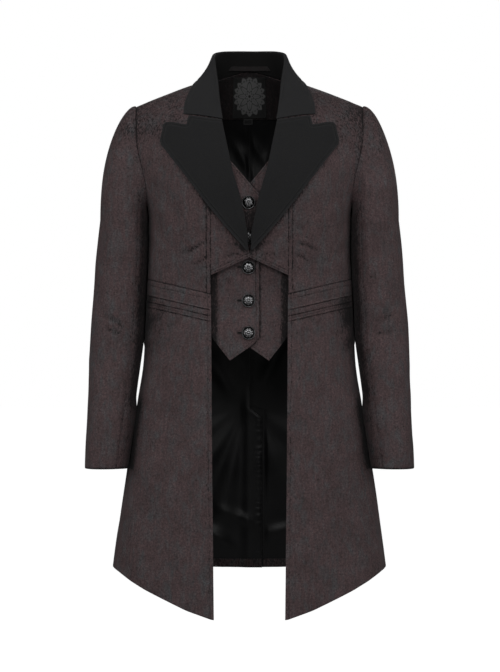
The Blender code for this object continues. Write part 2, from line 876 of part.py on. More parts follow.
def lapel_points():
    """Middle of the lapel's cloth, on rays from its top edge to its foot."""
    count = len(LAPEL_TOP) - 1
    rows = []
    for i in range(LAPEL_ROWS + 1):
        down = i / LAPEL_ROWS
        row = []
        for j, (top_x, top_z) in enumerate(LAPEL_TOP):
            share = j / count
            foot_x = mix(LAPEL_FOOT_INNER[0], LAPEL_FOOT_OUTER[0], share)
            foot_z = mix(LAPEL_FOOT_INNER[1], LAPEL_FOOT_OUTER[1], share)
            bow = LAPEL_BOW * math.sin(math.pi * down) * down * share ** 3
            x = mix(top_x, foot_x, down) + bow
            z = mix(top_z, foot_z, down) - bow
            over = ease(z, -150, -215) * ease(z, -300, -268)
            x -= LAPEL_OVERHANG * (1 - ease(share, 0, 0.3)) * over
            lift = LAPEL_LIFT - LAPEL_DIP * (1 - ease(share, 0, 0.12)) * ease(down, 0, 0.1)
            lift += LAPEL_SPRING * share ** 2 * ease(down, 0.2, 0.7) * (1 - ease(down, 0.85, 1))
            point, out = body_spot(FRONT, x, z)
            row.append(point + out * lift)
        rows.append(row)
    return rows


def add_lapels():
    spots = sheet_spots(lapel_points())
    for letter, side in (("R", RIGHT), ("L", LEFT)):
        add_wall("lapel_" + letter, mirrored(spots, side), CLOTH / 2, -CLOTH / 2, "collar_cloth")


# Sleeves

def armhole_spot(angle):
    """Point on the armhole, from 0 at the shoulder round the front to 180 at the underarm."""
    radians = math.radians(angle)
    middle = (SHOULDER_HEIGHT + UNDERARM_HEIGHT) / 2
    z = middle + (SHOULDER_HEIGHT - middle) * math.cos(radians)
    side = FRONT if math.sin(radians) >= 0 else BACK
    return body_spot(side, side_edge(side, z), z)


def ring_point(angle, z):
    """Point on the sleeve's ring at a height, from 0 at its outer side."""
    radians = math.radians(angle)
    outer = read_curve(SLEEVE_RINGS, z, 1)
    inner = read_curve(SLEEVE_RINGS, z, 2)
    middle_y = read_curve(SLEEVE_RINGS, z, 3)
    half_depth = read_curve(SLEEVE_RINGS, z, 4)
    cosine = math.cos(radians)
    sine = math.sin(radians)
    across = math.copysign(abs(cosine) ** (2 / SLEEVE_POWER), cosine)
    along = math.copysign(abs(sine) ** (2 / SLEEVE_POWER), sine)
    x = (outer + inner) / 2 + (outer - inner) / 2 * across
    return Vector((x, middle_y - half_depth * along, z))


def cap_point(angle, share):
    """Point on the sleeve head, from the armhole down to the first ring."""
    start, out = armhole_spot(angle)
    ahead = armhole_spot(angle + 0.5)[0]
    behind = armhole_spot(angle - 0.5)[0]
    edge = out.cross(ahead - behind).normalized()
    if edge.x < edge.z * math.cos(math.radians(angle)):
        edge.negate()
    start = start + edge * SEAM_GAP
    end = ring_point(angle, FIRST_RING)
    over = (1 + math.cos(math.radians(angle))) / 2
    lead_x, lead_z = (mix(a, b, over) for a, b in zip(HEAD_LEAD_UNDER, HEAD_LEAD_OVER))
    hang = (start.z - end.z) * mix(HEAD_HANG_UNDER, HEAD_HANG_OVER, over)
    first = start + Vector((lead_x, 0, lead_z))
    second = end + Vector((HEAD_BULGE_X * over, 0, hang))
    a = (1 - share) ** 3
    b = 3 * share * (1 - share) ** 2
    c = 3 * share ** 2 * (1 - share)
    return start * a + first * b + second * c + end * share ** 3


def sleeve_point(angle, row):
    """Point on the sleeve; rows run down the head, then from ring to ring."""
    if row <= CAP_ROWS:
        low = min(int(row), CAP_ROWS - 1)
        share = mix(CAP_SHARES[low], CAP_SHARES[low + 1], row - low)
        return cap_point(angle, share)
    place = row - CAP_ROWS
    low = min(int(place), len(SLEEVE_RINGS) - 2)
    z = mix(SLEEVE_RINGS[low][0], SLEEVE_RINGS[low + 1][0], place - low)
    return ring_point(angle, z)


def sleeve_spots(angles):
    """Grid of the sleeve between two of its seams."""
    rows = []
    last = CAP_ROWS + len(SLEEVE_RINGS) - 1
    for i in range(last + 1):
        row = []
        for angle in angles:
            point = sleeve_point(angle, i)
            around = sleeve_point(angle + 0.4, i) - sleeve_point(angle - 0.4, i)
            down = sleeve_point(angle, min(i + 0.05, last)) - sleeve_point(angle, max(i - 0.05, 0))
            row.append((point, around.cross(down).normalized()))
        rows.append(row)
    return rows


def add_sleeves():
    steps = int(round((FRONT_SEAM_ANGLE + HIND_SEAM_ANGLE) / RING_STEP))
    upper_angles = [-HIND_SEAM_ANGLE + RING_STEP * k for k in range(steps + 1)]
    under_angles = [FRONT_SEAM_ANGLE + RING_STEP * k for k in range(20 - steps + 1)]
    for part, angles in (("upper", upper_angles), ("under", under_angles)):
        spots = pull_in(sleeve_spots(angles), SEAM_GAP / 2)
        for letter, side in (("R", RIGHT), ("L", LEFT)):
            add_wall("sleeve_" + part + "_" + letter, mirrored(spots, side), 0, -CLOTH, "brocade")


# Mock waistcoat and its buttons

def waistcoat_depth(x, depth):
    """How deep the waistcoat lies, coming out to the front's inside at its outer edge."""
    return mix(depth, WAISTCOAT_EDGE_DEPTH, ease(abs(x), *WAISTCOAT_TURN))


def waistcoat_spots(table):
    rows = []
    for k in range(WAISTCOAT_ROWS + 1):
        row = []
        for x, top, foot in table:
            point, out = body_spot(FRONT, abs(x), mix(top, foot, k / WAISTCOAT_ROWS))
            if x < 0:
                point.x = x
                out = Vector((-out.x, out.y, out.z))
            row.append((point, out))
        rows.append(row)
    return rows


def add_waistcoat():
    for name, table, side, depth in (
            ("waistcoat_front_R", WAISTCOAT_OVER, RIGHT, OVER_DEPTH),
            ("waistcoat_front_L", WAISTCOAT_UNDER, LEFT, UNDER_DEPTH)):
        def outer(i, j, table=table, depth=depth):
            return waistcoat_depth(table[j][0], depth)
        add_wall(name, mirrored(waistcoat_spots(table), side), outer,
                 lambda i, j, outer=outer: outer(i, j) - CLOTH, "brocade")


def add_button(number, height):
    """Domed button turned about its own axis, facing out of the waistcoat."""
    name = "waistcoat_button_" + str(number)
    mesh = bpy.data.meshes.new(name)
    profile = bmesh.new()
    verts = [profile.verts.new((radius * MM, 0, z * MM)) for radius, z in BUTTON_PROFILE]
    for a, b in zip(verts, verts[1:]):
        profile.edges.new((a, b))
    profile.to_mesh(mesh)
    profile.free()
    mesh.materials.append(make_material("antique_silver"))
    button = bpy.data.objects.new(name, mesh)
    bpy.data.collections[COLLECTION].objects.link(button)
    turn = button.modifiers.new("turn", "SCREW")
    turn.steps = BUTTON_SIDES
    turn.render_steps = BUTTON_SIDES
    turn.use_merge_vertices = True
    turn.merge_threshold = 0.00001
    turn.use_normal_calculate = True
    point, out = body_spot(FRONT, abs(BUTTON_X), height)
    point.x = BUTTON_X
    button.location = (point + out * (OVER_DEPTH + BUTTON_OFF)) * MM
    out.x = 0
    button.rotation_mode = "QUATERNION"
    button.rotation_quaternion = out.to_track_quat("Z", "Y")


def main():
    for thing in list(bpy.data.objects):
        bpy.data.objects.remove(thing, do_unlink=True)
    collection = bpy.data.collections.new(COLLECTION)
    bpy.context.scene.collection.children.link(collection)
    add_fronts()
    add_backs()
    add_neck_inside()
    add_collar()
    add_hanger_loop()
    add_lapels()
    add_sleeves()
    add_waistcoat()
    for number, height in enumerate(BUTTON_HEIGHTS, start=1):
        add_button(number, height)


main()
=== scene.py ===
"""Looks of the gothic tail coat: cloth shells, stitches, buttons, label, light and camera.

Sizes are in millimetres until a mesh is made. The coat faces -Y and +X is the wearer's left.
"""

import math

import bpy
import numpy as np
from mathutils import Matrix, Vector


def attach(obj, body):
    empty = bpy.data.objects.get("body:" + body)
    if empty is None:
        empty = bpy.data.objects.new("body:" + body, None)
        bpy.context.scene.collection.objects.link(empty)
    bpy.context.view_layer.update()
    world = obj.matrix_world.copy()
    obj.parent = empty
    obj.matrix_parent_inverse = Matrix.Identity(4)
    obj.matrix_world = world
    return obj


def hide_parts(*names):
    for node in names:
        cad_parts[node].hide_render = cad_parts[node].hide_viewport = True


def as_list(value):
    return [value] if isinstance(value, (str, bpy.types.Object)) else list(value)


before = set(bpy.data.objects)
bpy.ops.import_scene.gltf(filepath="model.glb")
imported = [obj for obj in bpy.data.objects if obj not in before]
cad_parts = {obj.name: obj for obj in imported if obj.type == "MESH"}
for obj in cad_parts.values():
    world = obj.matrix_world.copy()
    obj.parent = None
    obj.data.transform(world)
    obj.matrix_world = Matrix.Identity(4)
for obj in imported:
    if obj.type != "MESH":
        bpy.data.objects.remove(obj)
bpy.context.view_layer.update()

MM = 0.001
FRONT, BACK = -1, 1
RIGHT, LEFT = -1, 1
SIDES = (RIGHT, LEFT)
CLOTH, SEAM_HALF = 1.9, 0.03

# The form of the coat, as in the part's source

NECK_HALF_WIDTH, NECK_HEIGHT, NECK_SETBACK = 78.0, 8.0, 12.0
NAPE_HEIGHT, NAPE_SETBACK, NAPE_DROP = 36.0, 70.0, 7.0
SHOULDER_HALF_WIDTH, SHOULDER_HEIGHT, SHOULDER_SETBACK, SHOULDER_BOW = 204.0, -40.0, 4.0, 1.8
UNDERARM_HEIGHT = -225.0
CHEST_ROLL, BLADE_ROLL, ROLL_POWER, RING_POWER = 210.0, 140.0, 1.75, 2.5

# Columns: height, half width, depth in front, depth behind
BODY_RINGS = [
    (60, 219, 118, 84), (-40, 219, 122, 100), (-100, 217, 123, 112), (-140, 213, 124, 117),
    (-182, 196, 124, 118), (-205, 188.5, 124, 117), (-225, 182.6, 123, 115),
    (-250, 180.4, 121, 112), (-300, 180.4, 113, 102), (-370, 184, 105, 91),
    (-430, 186.6, 108, 96), (-500, 191, 114, 108), (-570, 201.2, 118, 117),
    (-695, 221.3, 122, 122), (-803, 237.3, 126, 126), (-880, 247.3, 129, 129),
    (-960, 256, 131, 131),
]
# Columns: height, distance from the centre in front, the same behind
ARMHOLE = [
    (-40, 204, 204), (-70, 203.5, 202.5), (-100, 202.5, 200), (-124, 199, 197.5),
    (-158, 190.5, 193), (-182, 185.5, 188.5), (-205, 183.2, 184.3), (-225, 182.6, 182.6),
]
PRINCESS_X, NECK_CLEARANCE, CENTRE_EDGE_X = 68.4, 3.0, 0.15
ROLL_TOP, ROLL_FOOT = (48.6, -70.0), (2.6, -297.0)
ROLL_INSET, ROLL_EASE = 1.5, 40.0
CENTRE_TOP, CENTRE_FOOT, CUTAWAY_FOOT = -308.0, -314.5, -345.6
WAIST_FRONT, WAIST_SIDE = -379.0, -351.5
# Neckline: height, x; then the same curve as x, height
NECKLINE = [(8, 78), (-14, 68.4), (-30, 62), (-52, 54), (-70, 48.6)]
NECKLINE_BY_X = [(x, z) for z, x in NECKLINE]
# Front edge of the skirt: height, x. Front hem: x, height
SKIRT_EDGE = [(-345, 68.4), (-450, 67.5), (-700, 65.5), (-960, 62.5)]
FRONT_HEM = [(61, -950), (68, -949), (110, -934), (148, -916.5), (183, -900.5), (212, -885.5),
             (236, -871.5), (247, -866)]
HEM_LEVEL, BACK_HEM_CENTRE, BACK_HEM_SIDE = -900.0, -880.5, -866.0
TUCK_DROPS = [27.5, 38.0, 47.5]
VENT_TOP, VENT_FOOT, VENT_WIDTH, VENT_STEP = -585.0, -603.0, 23.0, 3.6
VENT_EASE_TOP, VENT_EASE_WIDTH, VENT_INSET = -545.0, 19.0, 1.0
LINING_DEPTH, ROUND_EXTRA, ROUND_DOWN = -2.8, -1.3, (170.0, 225.0)
FACING_FOOT, HEM_FACING_TOP, LABEL_DEPTH = -54.0, -864.0, -5.9

# Columns: height, outer side, inner side, middle in y, half depth
SLEEVE_RINGS = [
    (-245, 268.2, 182.3, 2, 64), (-282, 272, 181.9, 1, 62), (-318, 275.4, 182.7, 0, 61),
    (-354, 277.8, 184.7, -2, 59.5), (-390, 281, 186.6, -4, 58), (-426, 284.2, 188.1, -6, 57.5),
    (-462, 286.2, 190, -9, 57), (-498, 287.8, 194.6, -13, 56), (-534, 288.6, 199.5, -18, 55),
    (-570, 290.4, 204, -23, 54), (-606, 291.4, 209.3, -28, 53), (-645, 293, 215.3, -33, 52),
    (-688, 293.8, 222, -38, 51),
]
SLEEVE_POWER, FIRST_RING, CUFF = 2.3, -245.0, -688.0
HEAD_LEAD_UNDER, HEAD_LEAD_OVER = (3.0, 1.0), (17.0, 10.0)
HEAD_BULGE_X, HEAD_HANG_UNDER, HEAD_HANG_OVER = 2.0, 0.5, 0.68
FRONT_SEAM_ANGLE, HIND_SEAM_ANGLE = 126.0, 108.0

# Columns: neckline x, fold x, fold y, fold z, outer edge x, outer edge z
COLLAR_STATIONS = [
    (0, 0, 84, 68, 0, 8), (28, 27, 81, 67.5, 40, 6), (52, 47, 66, 65, 73, 3),
    (70, 60, 45, 60, 89, 2), (78, 63.5, 22, 51, 97.5, 0), (71.5, 61.5, -3, 28, 104.5, -13),
    (63.6, 57.5, -31, 2, 110.5, -28), (55.5, 53.2, -68, -31, 115, -43),
    (49.2, 48, -88, -70, 115.8, -59.8),
]
BACK_STATIONS, COLLAR_LIFT, STAND_GAP, FALL_LIFT, FALL_SAG = 4, 2.8, 1.8, 3.2, 3.5
FOLD_HALF, FOLD_RISE, FOLD_REACH, FOLD_DROP = 2.4, 0.4, 5.0, 2.2
COLLAR_END = [(3.4, -1.6, 3.6), (1.2, -1.4, 1.2), (0, 0.6, 0), (1.8, 2.4, 0)]

# Columns: x, z
LAPEL_TOP = [
    (48.4, -71.8), (68.5, -68.9), (88, -65.9), (106.5, -63.1), (108.6, -70), (110.6, -79.6),
    (118, -78.8), (134, -74.8), (147.5, -74.2), (151.5, -78.7), (154.3, -93), (157.2, -106.5),
    (155.2, -115.5),
]
LAPEL_FOOT_INNER, LAPEL_FOOT_OUTER = (2.2, -300), (5.2, -301.5)
LAPEL_BOW, LAPEL_LIFT, LAPEL_DIP, LAPEL_SPRING, LAPEL_OVERHANG = 3.5, 2.4, 0.8, 3.2, 4.6

# Columns: distance from the centre, top edge, bottom edge
WAISTCOAT_UNDER = [(-12, -186, -471), (0, -186, -471), (17.5, -164, -483), (35, -142, -495),
                   (52, -121, -474), (68.5, -99, -454), (94, -95, -423), (118, -95, -394)]
WAISTCOAT_OVER = [(-16.8, -202, -453), (-8, -193.5, -464.5), (0, -184, -471)]
WAISTCOAT_OVER += [(17.5, -163, -483)] + WAISTCOAT_UNDER[3:]
OVER_DEPTH, UNDER_DEPTH, WAISTCOAT_EDGE_DEPTH, WAISTCOAT_TURN = -11.0, -13.6, -3.6, (75.0, 118.0)
BUTTON_X, BUTTON_OFF = -1.8, 0.6
BUTTON_HEIGHTS = [-218.7, -280.0, -333.0, -390.0, -446.6]

# Mesh steps: a row of fine distances next to each edge, then even coarse cells
FINE = np.array([0, 0.5, 1.2, 2.2, 3.6, 5.0, 5.9, 6.5, 7.1, 8.2, 10.5])
COARSE = 4.2

# Rows of stitches: distance from the edge or seam that each follows
STITCH_IN, PRINCESS_STITCH, SEAM_STITCH, VENT_STITCH = 6.5, 7.4, 9.5, 9.0
CUTAWAY_STITCHES, COLLAR_STITCH, LAPEL_STITCH, WAISTCOAT_STITCH = (2.8, 7.6), 5.0, 4.8, 5.0
# Heights where the stitches of the princess seam and of the vent begin, and how fast
PRINCESS_STITCH_TOP, VENT_STITCH_TOP, STITCH_START = -170.0, -590.0, 2.0


def table_curve(table, key, column):
    """Smooth value of a column where the table's first column reaches the key."""
    rows = np.array(sorted(table), float)
    keys, values = rows[:, 0], rows[:, column]
    slopes = np.empty_like(values)
    slopes[1:-1] = (values[2:] - values[:-2]) / (keys[2:] - keys[:-2])
    slopes[0] = (values[1] - values[0]) / (keys[1] - keys[0])
    slopes[-1] = (values[-1] - values[-2]) / (keys[-1] - keys[-2])
    key = np.clip(key, keys[0], keys[-1])
    i = np.clip(np.searchsorted(keys, key, side="right") - 1, 0, len(keys) - 2)
    span = keys[i + 1] - keys[i]
    t = (key - keys[i]) / span
    start = (1 + 2 * t) * (1 - t) ** 2 * values[i] + t * (1 - t) ** 2 * span * slopes[i]
    return start + t * t * (3 - 2 * t) * values[i + 1] - t * t * (1 - t) * span * slopes[i + 1]


def table_line(table, key):
    rows = np.array(sorted(table), float)
    return np.interp(key, rows[:, 0], rows[:, 1])


def mix(a, b, share):
    return a + (b - a) * share


def ease(value, start, end):
    t = np.clip((np.asarray(value, float) - start) / (end - start), 0.0, 1.0)
    return t * t * (3 - 2 * t)


def below(z, start):
    """Share that grows from none to all where a row of stitches starts."""
    return ease(-z, -start - STITCH_START, -start + STITCH_START)


def near_line(far, at=0.0, wide=1.0):
    return np.exp(-((far - at) / wide) ** 2)


def least(first, *others):
    for other in others:
        first = np.minimum(first, other)
    return first


def unit(vectors):
    return vectors / np.maximum(np.linalg.norm(vectors, axis=-1, keepdims=True), 1e-12)


def stack(*parts):
    return np.stack(np.broadcast_arrays(*parts), axis=-1)


def mirror(vectors, side):
    return vectors * np.array([side, 1.0, 1.0])


def ridge_height(x):
    x = np.abs(x)
    span = SHOULDER_HALF_WIDTH - NECK_HALF_WIDTH
    fall = (SHOULDER_HEIGHT - NECK_HEIGHT + SHOULDER_BOW * 4) / span
    share = (x - NECK_HALF_WIDTH) / span
    outside = mix(NECK_HEIGHT, SHOULDER_HEIGHT, share) + SHOULDER_BOW * 4 * share * (1 - share)
    t = np.minimum(x / NECK_HALF_WIDTH, 1)
    inside = mix(NAPE_HEIGHT, NECK_HEIGHT, t * t * (3 - 2 * t))
    return np.where(x >= NECK_HALF_WIDTH, outside, inside - t * t * (1 - t) * NECK_HALF_WIDTH * fall)


def ridge_setback(side, x):
    x = np.abs(x)
    share = (x - NECK_HALF_WIDTH) / (SHOULDER_HALF_WIDTH - NECK_HALF_WIDTH)
    inside = NECK_SETBACK
    if side == BACK:
        round_neck = np.maximum(1 - (x / NECK_HALF_WIDTH) ** 2, 0) ** 0.75
        inside = mix(NECK_SETBACK, NAPE_SETBACK, round_neck)
    return np.where(x >= NECK_HALF_WIDTH, mix(NECK_SETBACK, SHOULDER_SETBACK, share), inside)


def half_width(z):
    return table_curve(BODY_RINGS, z, 1)


def body_y(side, x, z):
    depth = table_curve(BODY_RINGS, z, 2 if side == FRONT else 3)
    across = np.minimum(np.abs(x) / half_width(z), 1.0)
    flat = side * depth * (1 - across ** RING_POWER) ** (1 / RING_POWER)
    drop = np.clip((ridge_height(x) - z) / (CHEST_ROLL if side == FRONT else BLADE_ROLL), 0.0, 1.0)
    return mix(ridge_setback(side, x), flat, (1 - (1 - drop) ** ROLL_POWER) ** (1 / ROLL_POWER))


def body(side, x, z):
    """Points on the coat's form and the directions out of it."""
    x, z = np.broadcast_arrays(np.asarray(x, float), np.asarray(z, float))
    step = 1e-5
    near = np.abs(x)
    y = body_y(side, near, z)
    inner_x = np.abs(near - step)
    inner_z = z + ridge_height(inner_x) - ridge_height(near)
    across = stack(-step, body_y(side, inner_x, inner_z) - y, inner_z - z)
    low_x = near * half_width(z - step) / half_width(z)
    down = stack(low_x - near, body_y(side, low_x, z - step) - y, -step)
    out = unit(np.cross(unit(across), unit(down))) * -side
    out[..., 0] *= np.where(x < 0, -1, 1)
    return stack(x, y, z), out


def side_edge(side, z):
    return np.where(z > UNDERARM_HEIGHT, table_curve(ARMHOLE, z, 1 if side == FRONT else 2),
                    half_width(z))


def spread(length, at_start=True, at_end=True, coarse=COARSE):
    """Shares of the way along a length, close together near the named ends."""
    edge = FINE / length
    low = edge[-1] if at_start else 0.0
    high = 1 - edge[-1] if at_end else 1.0
    middle = np.linspace(low, high, max(int(round(length * (high - low) / coarse)), 1) + 1)
    return np.concatenate([edge[:-1] if at_start else [], middle,
                           1 - edge[:-1][::-1] if at_end else []])


def arc(points, axis):
    """Distance walked along a grid from its first row or column."""
    steps = np.linalg.norm(np.diff(points, axis=axis), axis=-1)
    return np.cumsum(np.insert(steps, 0, 0, axis=axis), axis=axis)


def far_from(points, line):
    """Shortest distance from each grid point to the points of a line."""
    flat = points.reshape(-1, 3)
    best = np.full(len(flat), 1e9)
    for k in range(0, len(line), 16):
        gaps = np.linalg.norm(flat[:, None] - line[None, k:k + 16], axis=-1)
        best = np.minimum(best, gaps.min(axis=1))
    return best.reshape(points.shape[:-1])


def refine(grid, steps):
    """Smooth curve through the rows of a grid, with this many steps between rows."""
    ends = [2 * grid[0] - grid[1]], [2 * grid[-1] - grid[-2]]
    padded = np.concatenate([ends[0], grid, ends[1]])
    rows = []
    for i in range(len(grid) - 1):
        a, b, c, d = padded[i:i + 4]
        for t in np.arange(steps) / steps:
            rows.append(0.5 * (2 * b + (c - a) * t + (2 * a - 5 * b + 4 * c - d) * t ** 2
                               + (3 * b - a - 3 * c + d) * t ** 3))
    return np.array(rows + [grid[-1]])


def pull_in(points):
    """Take half a seam's gap off all four edges."""
    points = points.copy()
    for edge, inner in ((np.s_[:, 0], np.s_[:, 1]), (np.s_[:, -1], np.s_[:, -2]), (0, 1), (-1, -2)):
        points[edge] += unit(points[inner] - points[edge]) * SEAM_HALF
    return points


def sheet_out(points):
    """Directions out of a grid, from its neighbouring points."""
    return unit(np.cross(np.gradient(points, axis=0), np.gradient(points, axis=1)))


def wave(points, seed, size, height):
    """Soft unevenness: a sum of a few slanted waves, the same on every run."""
    draw = np.random.RandomState(seed)
    total = np.zeros(points.shape[:-1])
    for k in range(7):
        way = draw.normal(size=3)
        way /= np.linalg.norm(way)
        long = size * (0.6 + 1.1 * draw.rand())
        total += np.sin(2 * math.pi * (points @ way) / long + draw.rand() * 2 * math.pi)
    return total / 7 * height * 1.6


def along_line(x, z, x0, z0, x1, z1):
    """Share of the way along a straight line, distance beside it, and its length."""
    way = np.array([x1 - x0, z1 - z0], float)
    long = np.linalg.norm(way)
    way /= long
    return ((x - x0) * way[0] + (z - z0) * way[1]) / long, (x - x0) * -way[1] + (z - z0) * way[0], long


def crease_place(x, z, line):
    """How far across a crease each point lies, in widths, and how strong the crease is there."""
    along, across, long = along_line(x, z, *line[:4])
    bend = math.sin(line[0] * 0.37 + line[1] * 0.21) * 0.12 * long
    across = across - bend * np.sin(math.pi * np.clip(along, 0, 1))
    return across / line[4], ease(along, -0.12, 0.3) * (1 - ease(along, 0.62, 1.12))


def creases(x, z, table):
    """Relief of the creases: a soft trough each, with a lower ridge along both sides."""
    relief = np.zeros(np.shape(x))
    for line in table:
        q, fade = crease_place(x, z, line)
        ridges = 0.55 * near_line(q, 1.9) + 0.3 * near_line(q, -2.1)
        relief = relief + line[5] * fade * (ridges - near_line(q))
    return relief


def crease_shadow(x, z, table):
    """Painted shade along the sharp creases: how much the dark marks crowd and the colour darkens there."""
    share = np.zeros(np.shape(x))
    for line in table:
        q, fade = crease_place(x, z, line)
        sharp = float(ease(line[5] / line[4], 0.22, 0.5))
        share = share + fade * near_line(q, -0.2, 1 / 1.3) * sharp
    return np.clip(share, 0, 1)


def seam_roll(far, deep=0.7, wide=1.5):
    """Cloth turning in towards a seam or folded edge."""
    return -deep * near_line(far, 0, wide)


def stitch_groove(far, at=STITCH_IN, deep=0.6, wide=0.9):
    """Shallow line that a row of stitches pulls into the cloth."""
    return -deep * near_line(far, at, wide)


# Building meshes

def add_object(name, data):
    thing = bpy.data.objects.new(name, data)
    bpy.context.scene.collection.objects.link(thing)
    return thing


def mesh_object(name, verts, faces, materials, face_slots=None, sharp=50):
    mesh = bpy.data.meshes.new(name)
    mesh.from_pydata((np.array(verts) * MM).tolist(), [], [tuple(face) for face in faces])
    for material in materials:
        mesh.materials.append(material)
    if face_slots is not None:
        mesh.polygons.foreach_set("material_index", face_slots)
    mesh.shade_smooth()
    mesh.set_sharp_from_angle(angle=math.radians(sharp))
    mesh.update()
    return add_object(name, mesh)


def trim(name, verts, faces, material, sharp):
    """Mesh that is sewn on or into a cloth piece and replaces no node."""
    thing = mesh_object(name, verts, faces, [material], sharp=sharp)
    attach(thing, "root")


def give(thing, key, values):
    layer = thing.data.attributes.new(key, "FLOAT", "POINT")
    layer.data.foreach_set("value", values.astype(np.float32))


def grid_faces(n, m, first=0):
    i, j = np.meshgrid(np.arange(n - 1), np.arange(m - 1), indexing="ij")
    a = first + i * m + j
    return np.stack([a, a + m, a + m + 1, a + 1], axis=-1).reshape(-1, 4)


def tube_faces(base, rings, around, loop=False):
    """Quads between rings of points; a loop joins its last ring to its first."""
    faces = []
    for i in range(rings if loop else rings - 1):
        a, b = base + i * around, base + (i + 1) % rings * around
        for k in range(around):
            q = (k + 1) % around
            faces.append((a + k, a + q, b + q, b + k))
    return faces


def shell(name, points, out, outer, inner, materials, attributes):
    """Closed shell of cloth with a rounded edge, between two offsets from a grid."""
    n, m = points.shape[:2]
    top = points + out * outer[..., None]
    under = points + out * inner[..., None]
    rim = [(0, j) for j in range(m)] + [(i, m - 1) for i in range(1, n)]
    rim += [(n - 1, j) for j in range(m - 2, -1, -1)] + [(i, 0) for i in range(n - 2, 0, -1)]
    ri, rj = np.array(rim).T
    away = unit(points[ri, rj] - points[np.clip(ri, 1, n - 2), np.clip(rj, 1, m - 2)])
    thick = (outer - inner)[ri, rj][:, None]
    middle = (top[ri, rj] + under[ri, rj]) / 2 + away * thick * 0.12
    verts = np.concatenate([top.reshape(-1, 3), under.reshape(-1, 3), middle])
    a = ri * m + rj
    b = np.roll(a, -1)
    c = 2 * n * m + np.arange(len(rim))
    d = np.roll(c, -1)
    faces = np.concatenate([grid_faces(n, m), grid_faces(n, m, n * m)[:, ::-1],
                            np.stack([a, b, d, c], axis=-1),
                            np.stack([c, d, b + n * m, a + n * m], axis=-1)])
    corner = verts[faces]
    volume = sum(np.einsum("ij,ij->i", corner[:, 0], np.cross(corner[:, k], corner[:, k + 1])).sum()
                 for k in (1, 2))
    if volume < 0:
        faces = faces[:, ::-1]
    slots = np.zeros(len(faces), np.int32)
    side_faces = (n - 1) * (m - 1)
    slots[side_faces:2 * side_faces] = len(materials) - 1
    thing = mesh_object(name, verts, faces.tolist(), materials, slots)
    for key, values in attributes.items():
        values = np.broadcast_to(values, (n, m))
        give(thing, key, np.concatenate([values.ravel(), values.ravel(), values[ri, rj]]))
    return thing


class Panel:
    """Grid of cloth with its directions out and the distances from its four edges."""

    def __init__(self, points, out, side=LEFT):
        self.points, self.out, self.side = points, out, side
        self.here = mirror(points, side)
        self.first, self.down = arc(points, 1), arc(points, 0)
        self.last, self.up = self.first[:, -1:] - self.first, self.down[-1:] - self.down

    def wave(self, seed, size, height):
        return wave(self.here, seed, size, height)

    def grain(self, edge_far, lines=0.0):
        """How dense the dark crinkle is: most on the shoulders, and more next to edges and along the given
        lines, where it is painted shade.
        """
        grain = 0.12 + 0.58 * ease(self.here[..., 2], -190, -60) + 0.3 * near_line(edge_far, 0, 12.0)
        return np.clip(grain + self.wave(77, 60, 0.2) + 1.3 * lines, 0, 1.5)

    def cloth(self, name, outer, near, slot="brocade", thick=CLOTH, **attributes):
        """Shell that replaces its CAD node; ? stands for R or L."""
        letter = "R" if self.side == RIGHT else "L"
        name, near = name.replace("?", letter), near.replace("?", letter).split()
        outer = np.broadcast_to(np.asarray(outer, float), self.points.shape[:2])
        looks = [LOOKS[slot]] + ([LOOKS["satin"]] if thick == CLOTH else [])
        thing = shell(name + "_cloth", self.here, mirror(self.out, self.side), outer, outer - thick,
                      looks, attributes)
        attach(thing, "root")
        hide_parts(name)
        middle = self.points + self.out * (outer - thick / 2)[..., None]
        width, length = sorted([arc(middle, 1)[:, -1].max() * MM, arc(middle, 0)[-1].max() * MM])
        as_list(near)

    def line(self, lift, edge, distance, skip=(0.0, 0.0), rows=slice(None), columns=slice(None)):
        """Line at a distance from one edge, with its directions out."""
        lift = np.broadcast_to(lift, self.points.shape[:2])[rows, columns, None]
        out = self.out[rows, columns]
        surface = self.points[rows, columns] + out * lift
        if edge.endswith("row"):
            surface, out = surface.transpose(1, 0, 2), out.transpose(1, 0, 2)
        if edge.startswith("last"):
            surface, out = surface[:, ::-1], out[:, ::-1]
        walked = arc(surface, 1)
        line, ways = (np.array([[np.interp(distance, walk, row[:, k]) for k in range(3)]
                                for walk, row in zip(walked, grid)]) for grid in (surface, out))
        along = arc(line[None], 1)[0]
        keep = (along >= skip[0]) & (along <= along[-1] - skip[1])
        return mirror(line[keep], self.side), mirror(unit(ways[keep]), self.side)


def on_body(form, side, x, z, lift=0.0, seams=True):
    """Panel on the coat's form, lifted off it, with half a seam's gap off its edges."""
    points, out = body(form, x, z)
    points = points + out * np.broadcast_to(lift, points.shape[:-1])[..., None]
    return Panel(pull_in(points) if seams else points, out, side)


# Thread of one stitch: its four rings' places, thicknesses and heights
STITCH_PLACES, STITCH_SIZES = (0.0, 0.25, 0.75, 1.0), (0.35, 1, 1, 0.35)
STITCH_LIFTS = (-0.5, 0.24, 0.24, -0.5)


def stitches(name, lines, pitch=3.4, long=2.7, radius=0.27):
    """Rows of stitches: a short four-sided thread for each, slightly sunk at its ends."""
    verts, faces = [], []
    for line, ways in lines:
        along = arc(line[None], 1)[0]
        for k in range(int(along[-1] / pitch)):
            start = (k + 0.5) * pitch - long / 2
            where = start + np.array(STITCH_PLACES) * long
            spots = np.array([np.interp(where, along, line[:, c]) for c in range(3)]).T
            way = unit(np.array([np.interp(start + long / 2, along, ways[:, c]) for c in range(3)]))
            across = unit(np.cross(way, unit(spots[-1] - spots[0])))
            base = len(verts)
            for spot, size, lift in zip(spots, STITCH_SIZES, STITCH_LIFTS):
                for quarter in range(4):
                    c, s = math.cos(quarter * math.pi / 2), math.sin(quarter * math.pi / 2)
                    verts.append(spot + way * lift * radius + (across * c + way * s) * radius * size)
            faces += tube_faces(base, 4, 4)
            faces.append((base + 3, base + 2, base + 1, base))
            faces.append((base + 12, base + 13, base + 14, base + 15))
    trim(name, verts, faces, THREAD, 180)


